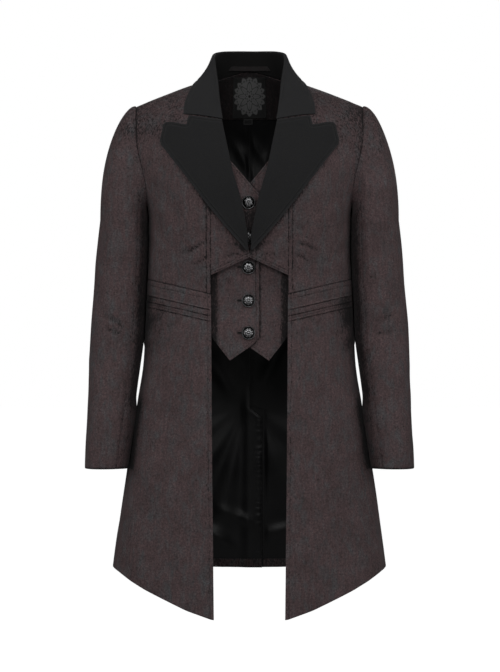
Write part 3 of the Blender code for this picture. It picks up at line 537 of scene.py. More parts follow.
# Materials

def colour(*parts):
    """Three parts, or one for a grey."""
    return (*(parts * 3 if len(parts) == 1 else parts), 1.0)


class Nodes:
    """Short way to write a material's nodes."""

    def __init__(self, name):
        self.material = bpy.data.materials.new(name)
        self.material.use_nodes = True
        self.tree = self.material.node_tree
        self.shader = self.tree.nodes["Principled BSDF"]

    def add(self, kind, inputs, **settings):
        node = self.tree.nodes.new(kind)
        for key, value in settings.items():
            setattr(node, key, value)
        for key, value in inputs.items():
            self.put(node.inputs[key], value)
        return node

    def put(self, socket, value):
        if isinstance(value, bpy.types.NodeSocket):
            self.tree.links.new(value, socket)
        else:
            socket.default_value = value

    def where(self, stretch=1.0):
        place = self.add("ShaderNodeTexCoord", {}).outputs["Object"]
        return self.add("ShaderNodeMapping", {"Vector": place, "Scale": (1, 1, stretch)}).outputs[0]

    def noise(self, scale, detail=3.0, rough=0.6, distort=0.0, stretch=1.0):
        return self.add("ShaderNodeTexNoise", {
            "Vector": self.where(stretch), "Scale": scale, "Detail": detail, "Roughness": rough,
            "Distortion": distort}).outputs[0]

    def ramp(self, value, low=0.3, high=0.7, to_low=0.0, to_high=1.0):
        return self.add("ShaderNodeMapRange", {"Value": value, "From Min": low, "From Max": high,
                                               "To Min": to_low, "To Max": to_high}).outputs[0]

    def math(self, operation, a, b):
        return self.add("ShaderNodeMath", {0: a, 1: b}, operation=operation).outputs[0]

    def blend(self, share, a, b, how="MIX"):
        node = self.add("ShaderNodeMix", {}, data_type="RGBA", blend_type=how)
        for key, value in (("Factor", share), ("A", a), ("B", b)):
            self.put(node.inputs[key], value)
        return node.outputs["Result"]

    def attribute(self, name):
        return self.add("ShaderNodeAttribute", {}, attribute_name=name).outputs["Fac"]

    def finish(self, tone, bump, **inputs):
        """Set the shader; the bump's parts are height, distance in metres and strength."""
        height, distance, strength = bump
        inputs["Base_Color"] = tone
        inputs["Normal"] = self.add("ShaderNodeBump", {"Height": height, "Distance": distance,
                                                       "Strength": strength}).outputs[0]
        for key, value in inputs.items():
            self.put(self.shader.inputs[key.replace("_", " ")], value)
        return self.material


def brocade_look():
    """Mottled brown and blue-grey crinkle. Its dark pepper grows with a point attribute that also carries
    painted shade, and the shade attribute darkens the colour as painted shade.
    """
    n = Nodes("brocade_look")
    grain = n.attribute("grain")
    blotch = n.ramp(n.noise(74.0, 4.0, 0.66, 0.7, 0.45), 0.46, 0.74)
    ground = n.blend(blotch, colour(0.114, 0.076, 0.078), colour(0.098, 0.100, 0.105))
    pebble = n.noise(330.0, 3.0, 0.7)
    level = n.ramp(n.noise(26.0), 0.3, 0.7, 0.84, 1.14)
    # The last factor darkens the colour by the shade attribute: painted shade.
    for factor in (n.ramp(pebble, 0.3, 0.7, 0.52, 1.48),
                   n.ramp(n.noise(260.0, 2.0, stretch=0.10), 0.3, 0.7, 0.88, 1.12),
                   n.ramp(n.attribute("shade"), 0.0, 1.0, 1.0, 0.0)):
        level = n.math("MULTIPLY", level, factor)
    level = n.add("ShaderNodeCombineColor", {"Red": level, "Green": level, "Blue": level}).outputs[0]
    # Dark pepper of the crinkle, which crowds in as painted shade where the point attribute is high.
    strokes = n.noise(380.0, 3.0, 0.65, 0.4, 0.45)
    mark = n.ramp(n.math("SUBTRACT", n.ramp(grain, 0.0, 1.5, 0.33, 0.66), strokes), -0.03, 0.07)
    mark = n.math("MULTIPLY", mark, n.ramp(grain, 0.0, 1.5, 0.55, 0.97))
    tone = n.blend(mark, n.blend(1.0, ground, level, "MULTIPLY"), colour(0.010, 0.008, 0.0085))
    height = n.math("ADD", n.math("MULTIPLY", strokes, 0.7), n.math("MULTIPLY", pebble, 0.5))
    return n.finish(tone, (height, 0.0009, 0.9), Roughness=n.ramp(pebble, 0.3, 0.7, 0.62, 0.82),
                    Sheen_Weight=0.06, Sheen_Roughness=0.5, Specular_IOR_Level=0.3)


def collar_look():
    n = Nodes("collar_look")
    weave = n.noise(900.0, 2.0)
    tone = n.blend(n.ramp(weave), colour(0.0165, 0.0165, 0.017), colour(0.029, 0.029, 0.030))
    cloud = n.ramp(n.noise(60.0, 3.0, 0.5), 0.3, 0.8, 0.0, 0.35)
    tone = n.blend(cloud, tone, colour(0.020, 0.020, 0.022))
    # Lighter colour at the edges: painted highlight.
    tone = n.blend(n.attribute("rim"), tone, colour(0.060, 0.060, 0.062))
    # The inside of the stand is near black: painted shade.
    tone = n.blend(n.attribute("inside"), tone, colour(0.0012, 0.001, 0.001))
    return n.finish(tone, (weave, 0.0003, 0.5), Roughness=0.8, Sheen_Weight=0.08,
                    Sheen_Roughness=0.45, Specular_IOR_Level=0.25)


def satin_look():
    n = Nodes("satin_look")
    cloud = n.noise(14.0, 3.0, 0.5)
    tone = n.blend(n.ramp(cloud), colour(0.0045, 0.0045, 0.005), colour(0.008, 0.008, 0.009))
    return n.finish(tone, (n.noise(1400.0, 2.0, 0.5, stretch=0.2), 0.0001, 0.3),
                    Roughness=n.ramp(cloud, 0.3, 0.7, 0.33, 0.45), Specular_IOR_Level=0.4, Sheen_Weight=0.05)


def silver_look():
    n = Nodes("antique_silver_look")
    scratch = n.noise(1500.0)
    bright = n.ramp(n.attribute("relief"), 0.25, 0.75)
    bright = n.math("MULTIPLY", bright, n.ramp(scratch, 0.3, 0.7, 0.75, 1.0))
    tone = n.blend(bright, colour(0.028), colour(0.40, 0.40, 0.41))
    return n.finish(tone, (scratch, 0.0001, 0.25), Metallic=1.0,
                    Roughness=n.ramp(bright, 0.0, 1.0, 0.34, 0.20))


def label_look():
    n = Nodes("label_look")
    pattern, weave = n.attribute("pattern"), n.noise(1600.0, 2.0)
    broken = n.math("MULTIPLY", pattern, n.ramp(weave, 0.25, 0.6, 0.45, 1.0))
    height = n.math("ADD", weave, n.math("MULTIPLY", pattern, 0.8))
    return n.finish(n.blend(broken, colour(0.006), colour(0.150)), (height, 0.0003, 0.6),
                    Roughness=0.6, Sheen_Weight=0.1)


def fibre_look(name, scale, dark, light, rough):
    """Two close colours, mixed by the noise that also roughens the surface."""
    n = Nodes(name)
    fibre = n.noise(scale, 2.0, 0.5)
    return n.finish(n.blend(n.ramp(fibre), dark, light), (fibre, 0.0001, 0.4), Roughness=rough)


LOOKS = {"brocade": brocade_look(), "collar_cloth": collar_look(), "satin": satin_look(),
         "antique_silver": silver_look(), "label_cloth": label_look()}
THREAD = fibre_look("thread_look", 2600.0, colour(0.010, 0.008, 0.008), colour(0.022, 0.018, 0.018),
                    0.55)
# Near-black look of the buttonhole slits: painted shade in the openings.
HOLE = fibre_look("buttonhole_look", 1800.0, colour(0.003), colour(0.010, 0.009, 0.009), 0.85)


# Creases. Columns: x and z of one end, of the other end, width, depth

SIDE_CREASES = {
    RIGHT: [(76, -285, 122, -306, 3.4, 2), (73, -311, 104, -327, 3.4, 1.5), (72, -262, 112, -272, 4, 1.1),
            (70, -330, 96, -338, 3.2, 1.1), (88, -296, 110, -311, 2.6, 0.9), (100, -262, 84, -278, 3, 0.9),
            (84, -250, 128, -262, 6, 0.7), (150, -205, 118, -258, 9, 1.3), (171, -238, 140, -300, 8, 1.2),
            (176, -275, 150, -318, 6, 1), (190, -150, 160, -200, 9, 1.1), (110, -120, 124, -196, 12, 1),
            (120, -330, 160, -342, 5, 0.8)],
    LEFT: [(80, -288, 123, -303, 3.4, 2), (78, -308, 106, -324, 3.4, 1.5), (74, -330, 98, -340, 3.2, 1.1),
           (72, -258, 100, -262, 4, 1.1), (92, -276, 114, -288, 2.6, 0.9), (84, -262, 98, -276, 3, 0.8),
           (148, -212, 116, -252, 9, 1.2), (172, -232, 144, -288, 8, 1.3), (177, -285, 148, -330, 6, 1),
           (191, -156, 166, -210, 9, 1.1), (112, -128, 130, -205, 12, 0.9), (128, -318, 166, -334, 5, 0.7)],
}
CENTRE_CREASES = {
    RIGHT: [(8, -305, 40, -290, 2.8, 1.1), (12, -309, 50, -314, 2.6, 1.2), (34, -272, 62, -262, 4, 0.8),
            (24, -300, 60, -300, 3.5, 0.8), (40, -326, 64, -331, 3, 0.6)],
    LEFT: [(8, -304, 44, -288, 2.8, 1.1), (14, -310, 54, -309, 2.6, 1.25), (30, -268, 60, -276, 4, 0.8),
           (38, -322, 62, -322, 3, 0.7)],
}
SKIRT_CREASES = {
    RIGHT: [(118, -421, 150, -436, 4.2, 1.6), (96, -430, 120, -452, 5, 0.9), (150, -405, 176, -432, 7, 1.2),
            (160, -450, 186, -560, 12, 1.5), (120, -560, 132, -760, 20, 2.2),
            (196, -640, 222, -820, 16, 2.6), (86, -640, 90, -840, 22, 1.6), (150, -700, 166, -890, 20, 2)],
    LEFT: [(100, -418, 132, -430, 4.2, 1.5), (128, -428, 150, -446, 6, 1.1), (152, -402, 178, -436, 7, 1.1),
           (162, -460, 184, -580, 12, 1.4), (116, -540, 126, -740, 20, 2), (198, -620, 220, -800, 16, 2.4),
           (88, -660, 92, -860, 22, 1.8), (154, -720, 172, -880, 20, 2)],
}
BACK_CREASES = {
    RIGHT: [(20, -330, 70, -345, 6, 1.1), (24, -372, 96, -380, 7, 1.4), (60, -398, 130, -404, 7, 1.3),
            (110, -366, 168, -352, 7, 1.2), (150, -200, 176, -262, 10, 1.5), (120, -180, 150, -250, 10, 1.2),
            (60, -60, 120, -66, 12, 0.8), (150, -440, 170, -560, 14, 1.6), (90, -560, 104, -780, 24, 2.6),
            (180, -620, 206, -830, 20, 2.6), (34, -620, 40, -850, 20, 1.6)],
    LEFT: [(18, -338, 76, -350, 6, 1.2), (30, -378, 104, -388, 7, 1.3), (70, -404, 128, -400, 7, 1.2),
           (104, -360, 166, -346, 7, 1.2), (152, -206, 178, -266, 10, 1.5), (122, -176, 148, -240, 10, 1.1),
           (54, -64, 118, -60, 12, 0.8), (148, -450, 172, -570, 14, 1.6), (94, -540, 110, -760, 24, 2.5),
           (182, -640, 210, -840, 20, 2.5), (38, -640, 46, -860, 20, 1.7)],
}
# The first and third columns are degrees round the sleeve
SLEEVE_CREASES = {
    RIGHT: [(60, -414, 104, -440, 5, 2.2), (70, -436, 112, -452, 4.5, 1.8), (40, -396, 84, -418, 9, 1.4),
            (84, -120, 96, -230, 12, 1.6), (50, -230, 66, -380, 16, 1.6), (96, -250, 104, -330, 8, 1.4),
            (20, -470, 60, -500, 12, 1.4), (-60, -400, -20, -430, 10, 2), (-90, -420, -50, -446, 9, 2),
            (-80, -130, -90, -240, 12, 1.6), (70, -520, 82, -660, 14, 1.5), (10, -540, 30, -650, 18, 1.3)],
    LEFT: [(58, -410, 100, -434, 5, 2.1), (66, -440, 110, -446, 4.5, 1.9), (36, -420, 80, -438, 9, 1.5),
           (82, -126, 98, -240, 12, 1.6), (48, -250, 62, -390, 16, 1.5), (94, -262, 106, -340, 8, 1.3),
           (24, -480, 62, -506, 12, 1.4), (-64, -408, -22, -436, 10, 2), (-88, -430, -48, -452, 9, 1.9),
           (-84, -140, -92, -250, 12, 1.6), (68, -540, 84, -670, 14, 1.5), (8, -560, 26, -660, 18, 1.3)],
}
WAISTCOAT_CREASES = [(30, -300, 66, -286, 3.6, 1.1), (16, -312, 60, -330, 3.6, 1.2),
                     (26, -350, 66, -366, 3.6, 1.1), (14, -368, 52, -356, 4, 0.8),
                     (20, -405, 62, -418, 5, 1.2), (12, -428, 50, -440, 4, 0.9),
                     (20, -240, 60, -222, 6, 0.9)]
# Folds of the satin that hang from the vent's top: angle, width in degrees, depth
VENT_FOLDS = [(34, 9, 5.5), (54, 10, 4.5), (14, 7, 4.5), (76, 12, 3), (-26, 10, 4), (-52, 12, 3.5)]
# Its other folds, with the columns of a crease
SATIN_FOLDS = [
    (-60, -110, -4, -200, 9, 3.4), (-30, -90, 10, -170, 7, 2.6), (-8, -74, 40, -150, 8, 2.8),
    (44, -84, 20, -170, 8, 2.2), (-50, -180, -10, -250, 9, 2.6), (40, -180, 10, -260, 9, 2.4),
    (-90, -470, -30, -560, 12, 4), (-70, -430, -16, -500, 10, 3), (70, -440, 24, -540, 12, 3.6),
    (-100, -800, -30, -840, 12, 4), (-60, -770, 14, -800, 10, 3.2), (30, -820, 100, -800, 12, 3.5),
]


# Fronts

def front_side_grid():
    a = spread(185, True, False)[:, None]
    b = spread(150, False, True)[1:, None]
    s = spread(125)[None]
    height = mix(NECK_HEIGHT, UNDERARM_HEIGHT, a)
    neck = table_curve(NECKLINE, height, 1) + NECK_CLEARANCE * ease(NECK_HEIGHT - height, 0, 8)
    outer = side_edge(FRONT, mix(SHOULDER_HEIGHT, UNDERARM_HEIGHT, a))
    shoulder = ridge_height(mix(NECK_HALF_WIDTH, SHOULDER_HALF_WIDTH, s))
    z_low = mix(UNDERARM_HEIGHT, mix(WAIST_FRONT, WAIST_SIDE, s), b)
    x_low = mix(PRINCESS_X, side_edge(FRONT, z_low), s)
    return (np.concatenate([mix(np.maximum(neck, PRINCESS_X), outer, s), x_low]),
            np.concatenate([mix(shoulder, UNDERARM_HEIGHT, a), z_low]))


def front_centre_grid():
    s = spread(50)[None]
    neck = table_curve(NECKLINE_BY_X, mix(ROLL_TOP[0], PRINCESS_X, s), 1)
    z = mix(neck - 2 * NECK_CLEARANCE, mix(CENTRE_FOOT, CUTAWAY_FOOT, s),
            spread(270, False, True)[:, None])
    roll = table_line([ROLL_TOP[::-1], ROLL_FOOT[::-1], (CENTRE_TOP, CENTRE_EDGE_X),
                       (CENTRE_FOOT - 40, CENTRE_EDGE_X)], z)
    return mix(roll + ROLL_INSET * ease(z, CENTRE_TOP, CENTRE_TOP + ROLL_EASE), PRINCESS_X, s), z


def lapel_shadow(x, z):
    """Shade under the lapel's outer edge."""
    along, across, long = along_line(x, z, *LAPEL_TOP[-1], *LAPEL_FOOT_OUTER)
    share = np.clip(along, 0, 1)
    return near_line(np.hypot(across, (along - share) * long), 1.6, 6.2) * ease(share, 0.05, 0.6)


def add_fronts():
    thread = []
    for side in SIDES:
        x, z = front_side_grid()
        p = on_body(FRONT, side, x, z)
        shadow_in_crease, lapel = crease_shadow(x, z, SIDE_CREASES[side]), lapel_shadow(x, z)
        # Painted shade on the body's side where it turns in beside the sleeve.
        beside = ease(x, half_width(z) - 8, half_width(z) - 2) * ease(-z, 195, 235)
        stitched = below(z, PRINCESS_STITCH_TOP)
        relief = (seam_roll(p.first) + seam_roll(p.last, 0.3) + seam_roll(p.down, 0.3)
                  + seam_roll(p.up, 1.0, 1.2) + stitch_groove(p.first, PRINCESS_STITCH, 0.9) * stitched
                  + creases(x, z, SIDE_CREASES[side]) * ease(p.last, 1, 16)
                  + p.wave(3, 95, 0.55) * ease(least(p.first, p.last), 2, 30))
        # Dark lines along seams and stitches, partly painted shade in their grooves, with painted shade
        # under the lapel, in the creases and beside the sleeve.
        lines = (0.8 * near_line(p.first, 0, 0.9) + near_line(p.up) + near_line(p.last, 0, 1.2)
                 + 0.7 * stitched * near_line(p.first, PRINCESS_STITCH, 0.9)
                 + 0.85 * lapel + 0.75 * shadow_in_crease + 0.55 * beside)
        p.cloth("front_side_?", relief, "front_centre_? back_?",
                grain=p.grain(least(p.first, p.last, p.down), lines),
                shade=0.35 * lapel + 0.12 * beside + 0.4 * shadow_in_crease)
        thread.append(p.line(relief, "first_column", PRINCESS_STITCH, rows=z[:, 0] < PRINCESS_STITCH_TOP))

        x, z = front_centre_grid()
        p = on_body(FRONT, side, x, z)
        shadow_in_crease, lapel = crease_shadow(x, z, CENTRE_CREASES[side]), lapel_shadow(x, z)
        relief = (seam_roll(p.first) + seam_roll(p.last) + seam_roll(p.up, 0.5, 1.2)
                  + sum(stitch_groove(p.up, at) for at in CUTAWAY_STITCHES)
                  + creases(x, z, CENTRE_CREASES[side]))
        # Dark lines along the seam and the cutaway's stitches, partly painted shade in their grooves, with
        # painted shade under the lapel and in the creases.
        lines = (0.8 * near_line(p.last, 0, 0.9) + 0.7 * lapel + 0.9 * shadow_in_crease
                 + 0.6 * sum(near_line(p.up, at, 0.8) for at in CUTAWAY_STITCHES))
        p.cloth("front_centre_?", relief, "front_side_? lapel_?",
                grain=p.grain(least(p.first, p.up) + 6, lines), shade=0.35 * lapel + 0.3 * shadow_in_crease)
        thread += [p.line(relief, "last_row", at, (1.0, 2.0)) for at in CUTAWAY_STITCHES]
        add_skirt(side, thread)
    stitches("front_stitches", thread)


# Rows of the skirt's grid under the waist seam and round each pintuck, and the tuck's section
SEAM_ROWS = [0, 0.5, 1.2, 2.2, 4.0, 6.5, 8.2, 9.0, 9.5, 10.0, 11.0, 13.5, 16.5, 19.5, 22.0]
TUCK_ROWS = [-4.2, -3.5, -2.8, -2.1, -1.4, -0.7, -0.2, 0.15, 0.4, 0.7, 1.0, 1.3, 1.8, 2.8]
TUCK_RISE, TUCK_HEIGHT, TUCK_FALL, TUCK_LINE = 3.5, 1.8, 0.8, 1.1


def tuck_relief(drop):
    """Pintucks as overlapping steps: a slow rise, then a quick fall with a groove under it."""
    relief = -0.5 * near_line(drop, SEAM_STITCH)
    for at in TUCK_DROPS:
        rise = ease(drop, at - TUCK_RISE, at) * (1 - ease(drop, at, at + TUCK_FALL))
        relief = relief + TUCK_HEIGHT * rise - 0.8 * near_line(drop, at + TUCK_FALL + 0.5, 0.7)
    return relief


def add_skirt(side, thread):
    """Rows follow the seam as far as the tucks, then spread down to the hem."""
    s = spread(152)[None]
    drops = np.concatenate([SEAM_ROWS] + [at + np.array(TUCK_ROWS) for at in TUCK_DROPS])[:, None]
    seam = mix(WAIST_FRONT, WAIST_SIDE, s)
    low_x = mix(table_line(SKIRT_EDGE, HEM_LEVEL), half_width(HEM_LEVEL), s)
    z_low = mix(seam - drops[-1], table_line(FRONT_HEM, low_x), spread(500, False, True, 6.0)[1:, None])
    z = np.concatenate([seam - drops, z_low])
    x = mix(table_line(SKIRT_EDGE, z), half_width(z), s)
    drop = seam - z
    p = on_body(FRONT, side, x, z)
    table = SKIRT_CREASES[side]
    relief = (tuck_relief(drop) * (1 - ease(s, 0.9, 1)) * ease(p.first, 0, 3)
              + seam_roll(p.first, 0.5) + seam_roll(p.last) + seam_roll(p.down) + seam_roll(p.up, 0.5)
              + stitch_groove(p.first, deep=0.25)
              + creases(x, z, table) * ease(least(p.last, p.first), 0, 25)
              + p.wave(11, 140, 0.9) * ease(p.last, 2, 40) * ease(p.first, 2, 30))
    # Painted shadow under each pintuck and along the seam's stitching, broken up unevenly.
    lines = sum(near_line(drop, at + TUCK_LINE, 0.9) for at in TUCK_DROPS)
    lines = lines + 0.6 * near_line(drop, SEAM_STITCH, 0.9)
    lines = lines * (0.65 + p.wave(17, 16, 0.5)) * ease(p.last, 4, 30) * ease(p.first, 4, 9)
    # Painted shade on the skirt's side under the sleeve: below the tucks and beside the cuff.
    from_side = half_width(z) - x
    waist = 1.2 * (0.85 + p.wave(23, 38, 0.4)) * (1 - ease(from_side, 4, 50))
    waist = waist * ease(z, -530, -430) * ease(drop, 8, 42) + 0.6 * near_line(p.last, 0, 9)
    cuff = 1.7 * (1 - ease(from_side, 4, 18)) * ease(z, -545, -585) * ease(z, CUFF - 3, CUFF)
    beside, shadow_in_crease = np.maximum(waist, cuff), crease_shadow(x, z, table)
    lines = (lines + near_line(p.down) + 0.75 * beside + 0.7 * shadow_in_crease
             + 0.3 * near_line(p.first, STITCH_IN, 0.9))
    p.cloth("skirt_front_?", relief, "front_side_? back_?",
            grain=p.grain(least(p.first, p.last), lines), shade=0.5 * beside + 0.3 * shadow_in_crease)
    thread.append(p.line(relief, "first_column", STITCH_IN, (2.0, 4.0)))
    for at in [SEAM_STITCH] + [tuck + TUCK_LINE for tuck in TUCK_DROPS]:
        thread.append(p.line(relief, "first_row", at, (7.0, 6.0), rows=slice(len(drops))))


# Back, lining and facings

# Swell of the back beside the arm: height, reach from the side seam, then where it starts and ends
SWELL, SWELL_REACH, SWELL_SPAN = 7.5, (2.0, 26.0, 40.0, 70.0), (-198.0, -222.0, -482.0, -452.0)
# Share of the back's width that the lining covers, its edge beside the vent's lap, its rows
LINING_SHARE, LINING_EDGE, LINING_ROWS = 0.955, 26.0, 250
LINING_THICK, FACING_THICK, VENT_COLUMNS = 0.8, 0.9, 8
# Strip of main cloth inside the hem: gap under the lining, depth, height of its foot over the hem
HEM_FACING_GAP, HEM_FACING_DEEP, HEM_FACING_UP = 0.3, 15.0, 1.5


def back_top(x):
    return ridge_height(x) - NAPE_DROP * np.maximum(1 - (x / NECK_HALF_WIDTH) ** 2, 0.0)


def back_hem(x):
    return mix(BACK_HEM_CENTRE, BACK_HEM_SIDE, (np.abs(x) / half_width(BACK_HEM_SIDE)) ** 2)


def on_back(side, x, z):
    """Panel on the back; the right one steps in behind the left one at the vent."""
    step = 0.0
    if side == RIGHT:
        down = np.clip((VENT_EASE_TOP - z) / (VENT_EASE_TOP - VENT_TOP), 0.0, 1.0)
        step = -VENT_STEP * down * (1 - ease(x, VENT_INSET, VENT_EASE_WIDTH))
    return on_body(BACK, side, x, z, step)


def back_grid(side, heights, whole):
    """X and z over a back panel, or part of it for its lining; the right one passes the centre."""
    part = 1.0 if whole else LINING_SHARE
    s = spread(SHOULDER_HALF_WIDTH * part, True, whole)[None] * part
    z = heights[:, None] + np.zeros_like(s)
    if whole:
        low = back_hem(s * half_width(BACK_HEM_SIDE))
        z = mix(z, mix(low, z, ease(z, BACK_HEM_CENTRE, -700)), ease(z, -820, BACK_HEM_CENTRE))
        z[-1] = low[0]
    x = s * side_edge(BACK, z)
    if whole:
        a = spread(200, True, False)[:, None]
        x = np.concatenate([s * side_edge(BACK, mix(SHOULDER_HEIGHT, UNDERARM_HEIGHT, a)), x])
        z = np.concatenate([mix(back_top(s * SHOULDER_HALF_WIDTH), UNDERARM_HEIGHT, a), z])
    if side == RIGHT:
        edge = -VENT_WIDTH * np.clip((VENT_TOP - z[:, :1]) / (VENT_TOP - VENT_FOOT), 0.0, 1.0)
        first = mix(edge, VENT_INSET, np.arange(VENT_COLUMNS)[None] / VENT_COLUMNS)
        x = np.concatenate([first, np.maximum(x, VENT_INSET)], axis=1)
        z = np.concatenate([np.repeat(z[:, :1], VENT_COLUMNS, axis=1), z], axis=1)
    return x, z


def off_vent(x):
    """The left lining's columns, moved off the vent's lap."""
    return mix(LINING_EDGE, x[:, -1:], (x - x[:, :1]) / (x[:, -1:] - x[:, :1]))


def add_backs():
    thread = []
    low = mix(UNDERARM_HEIGHT, BACK_HEM_CENTRE, spread(655, False, True, 5.5)[1:])
    for side in SIDES:
        x, z = back_grid(side, low, True)
        p = on_back(side, x, z)
        swell = SWELL * ease(p.last, *SWELL_REACH[:2]) * (1 - ease(p.last, *SWELL_REACH[2:]))
        soft = ease(least(p.first, p.last), 2, 30) * ease(x, 5, 30)
        relief = (seam_roll(p.first) + seam_roll(p.last) + seam_roll(p.down) + seam_roll(p.up, 0.5)
                  + swell * ease(z, *SWELL_SPAN[:2]) * ease(z, *SWELL_SPAN[2:])
                  + creases(x, z, BACK_CREASES[side]) * soft + p.wave(21, 130, 0.9) * soft)
        if side == LEFT:
            relief = relief + stitch_groove(p.first, VENT_STITCH) * below(z, VENT_STITCH_TOP)
            thread.append(p.line(relief, "first_column", VENT_STITCH, (0.0, 3.0),
                                 rows=z[:, 0] < VENT_STITCH_TOP))
        # The dark line along the centre edge is partly painted shade in its groove.
        p.cloth("back_?", relief, "front_side_? collar",
                grain=p.grain(least(p.last, p.down), near_line(p.first, 0, 0.9)))
    stitches("back_stitches", thread)


def lining_folds(x, z, side):
    """Soft folds of the satin, which hang from the vent's top and from the neck."""
    world = x * side
    fold = np.zeros_like(x)
    dx, dz = world + 4.0, z + 572.0
    angle = np.degrees(np.arctan2(-dx, -dz))
    hanging = ease(-dz, -20, 60) * ease(np.hypot(dx, dz), 10, 140)
    for centre, wide, deep in VENT_FOLDS:
        fold += deep * hanging * near_line(angle, centre, wide)
    for *ends, wide, deep in SATIN_FOLDS:
        along, across, _ = along_line(world, z, *ends)
        fold += deep * near_line(across, 0, wide) * ease(along, -0.2, 0.35) * (1 - ease(along, 0.65, 1.2))
    return fold * (1 - 0.35 * ease(z, -330, -270))


def puckers(x, z, edge_far):
    """Gathered satin next to the vent's sewn edge."""
    drift = 2.1 * np.sin(z * 0.083) + 1.7 * np.sin(z * 0.047 + 2.0)
    ripple = 0.5 + 0.5 * np.sin(z * 0.62 + drift + x * 0.06)
    return 2.0 * ripple * (0.65 + 0.35 * np.sin(z * 0.071)) * near_line(edge_far, 5.0, 5.0)


def add_linings():
    rows = np.linspace(FACING_FOOT - 1.4, HEM_FACING_TOP, LINING_ROWS)
    top = HEM_FACING_TOP - HEM_FACING_GAP
    for side in SIDES:
        x, z = back_grid(side, rows, False)
        if side == LEFT:
            x = mix(x, off_vent(x), ease(-z, -VENT_TOP - 1, -VENT_TOP + 1))
        p = on_back(side, x, z)
        fold = lining_folds(x, z, side) * ease(p.last, 0, 25) * ease(z, HEM_FACING_TOP, HEM_FACING_TOP + 20)
        fold = fold * ease(-z, -FACING_FOOT + 1, -FACING_FOOT + 20)
        centre = ease(p.first, 0, 9)
        if side == RIGHT:
            vent = ease(-z, 590, 606)
            fold = fold * mix(centre, ease(p.first, 4, 40), vent)
            fold = fold + puckers(x, z, p.first) * vent * ease(z, HEM_FACING_TOP, HEM_FACING_TOP + 12)
        else:
            fold = fold * centre
        fold = fold + 0.5 * (1 + p.wave(31, 70, 0.8)) * ease(p.last, 0, 20) * centre
        depth = LINING_DEPTH + ROUND_EXTRA * (1 - ease(-z, *ROUND_DOWN))
        p.cloth("back_lining_?", depth - fold, "back_?", "satin", LINING_THICK)

        x, z = back_grid(side, np.linspace(top, HEM_FACING_TOP - HEM_FACING_DEEP, 8), False)
        share = (top - z) / (HEM_FACING_DEEP - HEM_FACING_GAP)
        z = mix(top, back_hem(x) + HEM_FACING_UP, share)
        p = on_back(side, off_vent(x) if side == LEFT else x, z)
        # The hem facing is darkened as painted shade inside the hem.
        p.cloth("hem_facing_?", LINING_DEPTH, "back_lining_?", thick=FACING_THICK, grain=0.8, shade=0.4)


# Neck facing: half width and gap under the neck's edge. Patches: left, right, top, foot, columns, rows
NECK_FACING_HALF, NECK_FACING_GAP = 72, 1.0
LABEL_PATCH, TAG_PATCH = (-32, 32, 22, -51, 150, 170), (-11.5, 6, -52, -63, 26, 20)
LABEL_HEM, ROSETTE_LOW, ROSETTE_SCALE, ROSETTE_FLAT = 1.2, 12.0, 1.17, 0.86


def patch(left, right, top, foot, columns, rows):
    """Panel of even cells on the back, its x and z, and each point's distance from its edge."""
    x = np.linspace(left, right, columns)[None] + np.zeros((rows, 1))
    z = np.linspace(top, foot, rows)[:, None] + np.zeros((1, columns))
    return (on_body(BACK, LEFT, x, z, seams=False), x, z,
            least(x - left, right - x, top - z, z - foot))


def rosette(x, z):
    """Generic woven medallion: a filled scalloped disc with petals and rings left dark."""
    radius = np.hypot(x, z * ROSETTE_FLAT) / ROSETTE_SCALE
    angle = np.arctan2(x, z)
    scallop = 1.8 * np.cos(16 * angle)
    disc = 1 - ease(radius, 24.0 + scallop, 25.2 + scallop)
    petals = near_line(radius, 14.5 + 4.0 * np.cos(8 * angle), 0.9)
    inner = near_line(radius, 6.2 + 1.6 * np.cos(8 * angle + math.pi), 0.7)
    dots = near_line(radius, 21.2, 0.9) * (0.5 + 0.5 * np.cos(32 * angle))
    veins = near_line(np.sin(4 * angle) * radius, 0, 0.7) * (radius < 17) * (radius > 8)
    return np.clip(disc - petals - inner - dots - 0.8 * veins - (1 - ease(radius, 1.4, 2.4)), 0, 1)


def add_neck():
    s = np.linspace(-NECK_FACING_HALF, NECK_FACING_HALF, 61)[None]
    z = mix(back_top(np.abs(s)) - NECK_FACING_GAP, FACING_FOOT, np.linspace(0, 1, 34)[:, None])
    p = on_body(BACK, LEFT, s, z, seams=False)
    # The neck facing is darkened as painted shade inside the neck.
    p.cloth("neck_facing", LINING_DEPTH + ROUND_EXTRA, "back_R back_L", thick=FACING_THICK,
            grain=1.0, shade=0.78)

    p, x, z, border = patch(*LABEL_PATCH)
    pattern = np.clip(rosette(x, z + ROSETTE_LOW) + 0.12 * near_line(border, 2.2, 0.5), 0, 1)
    p.cloth("neck_label", LABEL_DEPTH, "neck_facing", "label_cloth", 0.7, pattern=pattern)
    left, right, top, foot = (edge + way * LABEL_HEM for edge, way in zip(LABEL_PATCH, (1, -1, -1, 1)))
    corners = [(left, top), (right, top), (right, foot), (left, foot), (left, top)]
    lines = []
    for (x0, z0), (x1, z1) in zip(corners, corners[1:]):
        share = np.linspace(0, 1, 20)
        spots, ways = body(BACK, mix(x0, x1, share), mix(z0, z1, share))
        lines.append((spots + ways * (LABEL_DEPTH - 0.75), -ways))
    stitches("label_stitches", lines, 2.4, 1.7, 0.2)

    p, x, z, border = patch(*TAG_PATCH)
    p.cloth("size_tag", LABEL_DEPTH, "neck_label", "label_cloth", 0.8,
            pattern=0.5 * near_line(border, 1.4, 0.45))


# Collar, loop and lapels

# Where the stand leans in, clear of the fall: station, its reach, column, its reach, share of x
STAND_TUCK = (5.4, 1.1, 9.0, 5.0, 0.04)
# COLLAR_RIM lifts the whole collar part way to the painted highlight colour, so it reads lighter than the
# lapels.
COLLAR_STEPS, COLLAR_COLUMNS, COLLAR_HALF, COLLAR_RIM = 10, 6, 1.0, 0.22
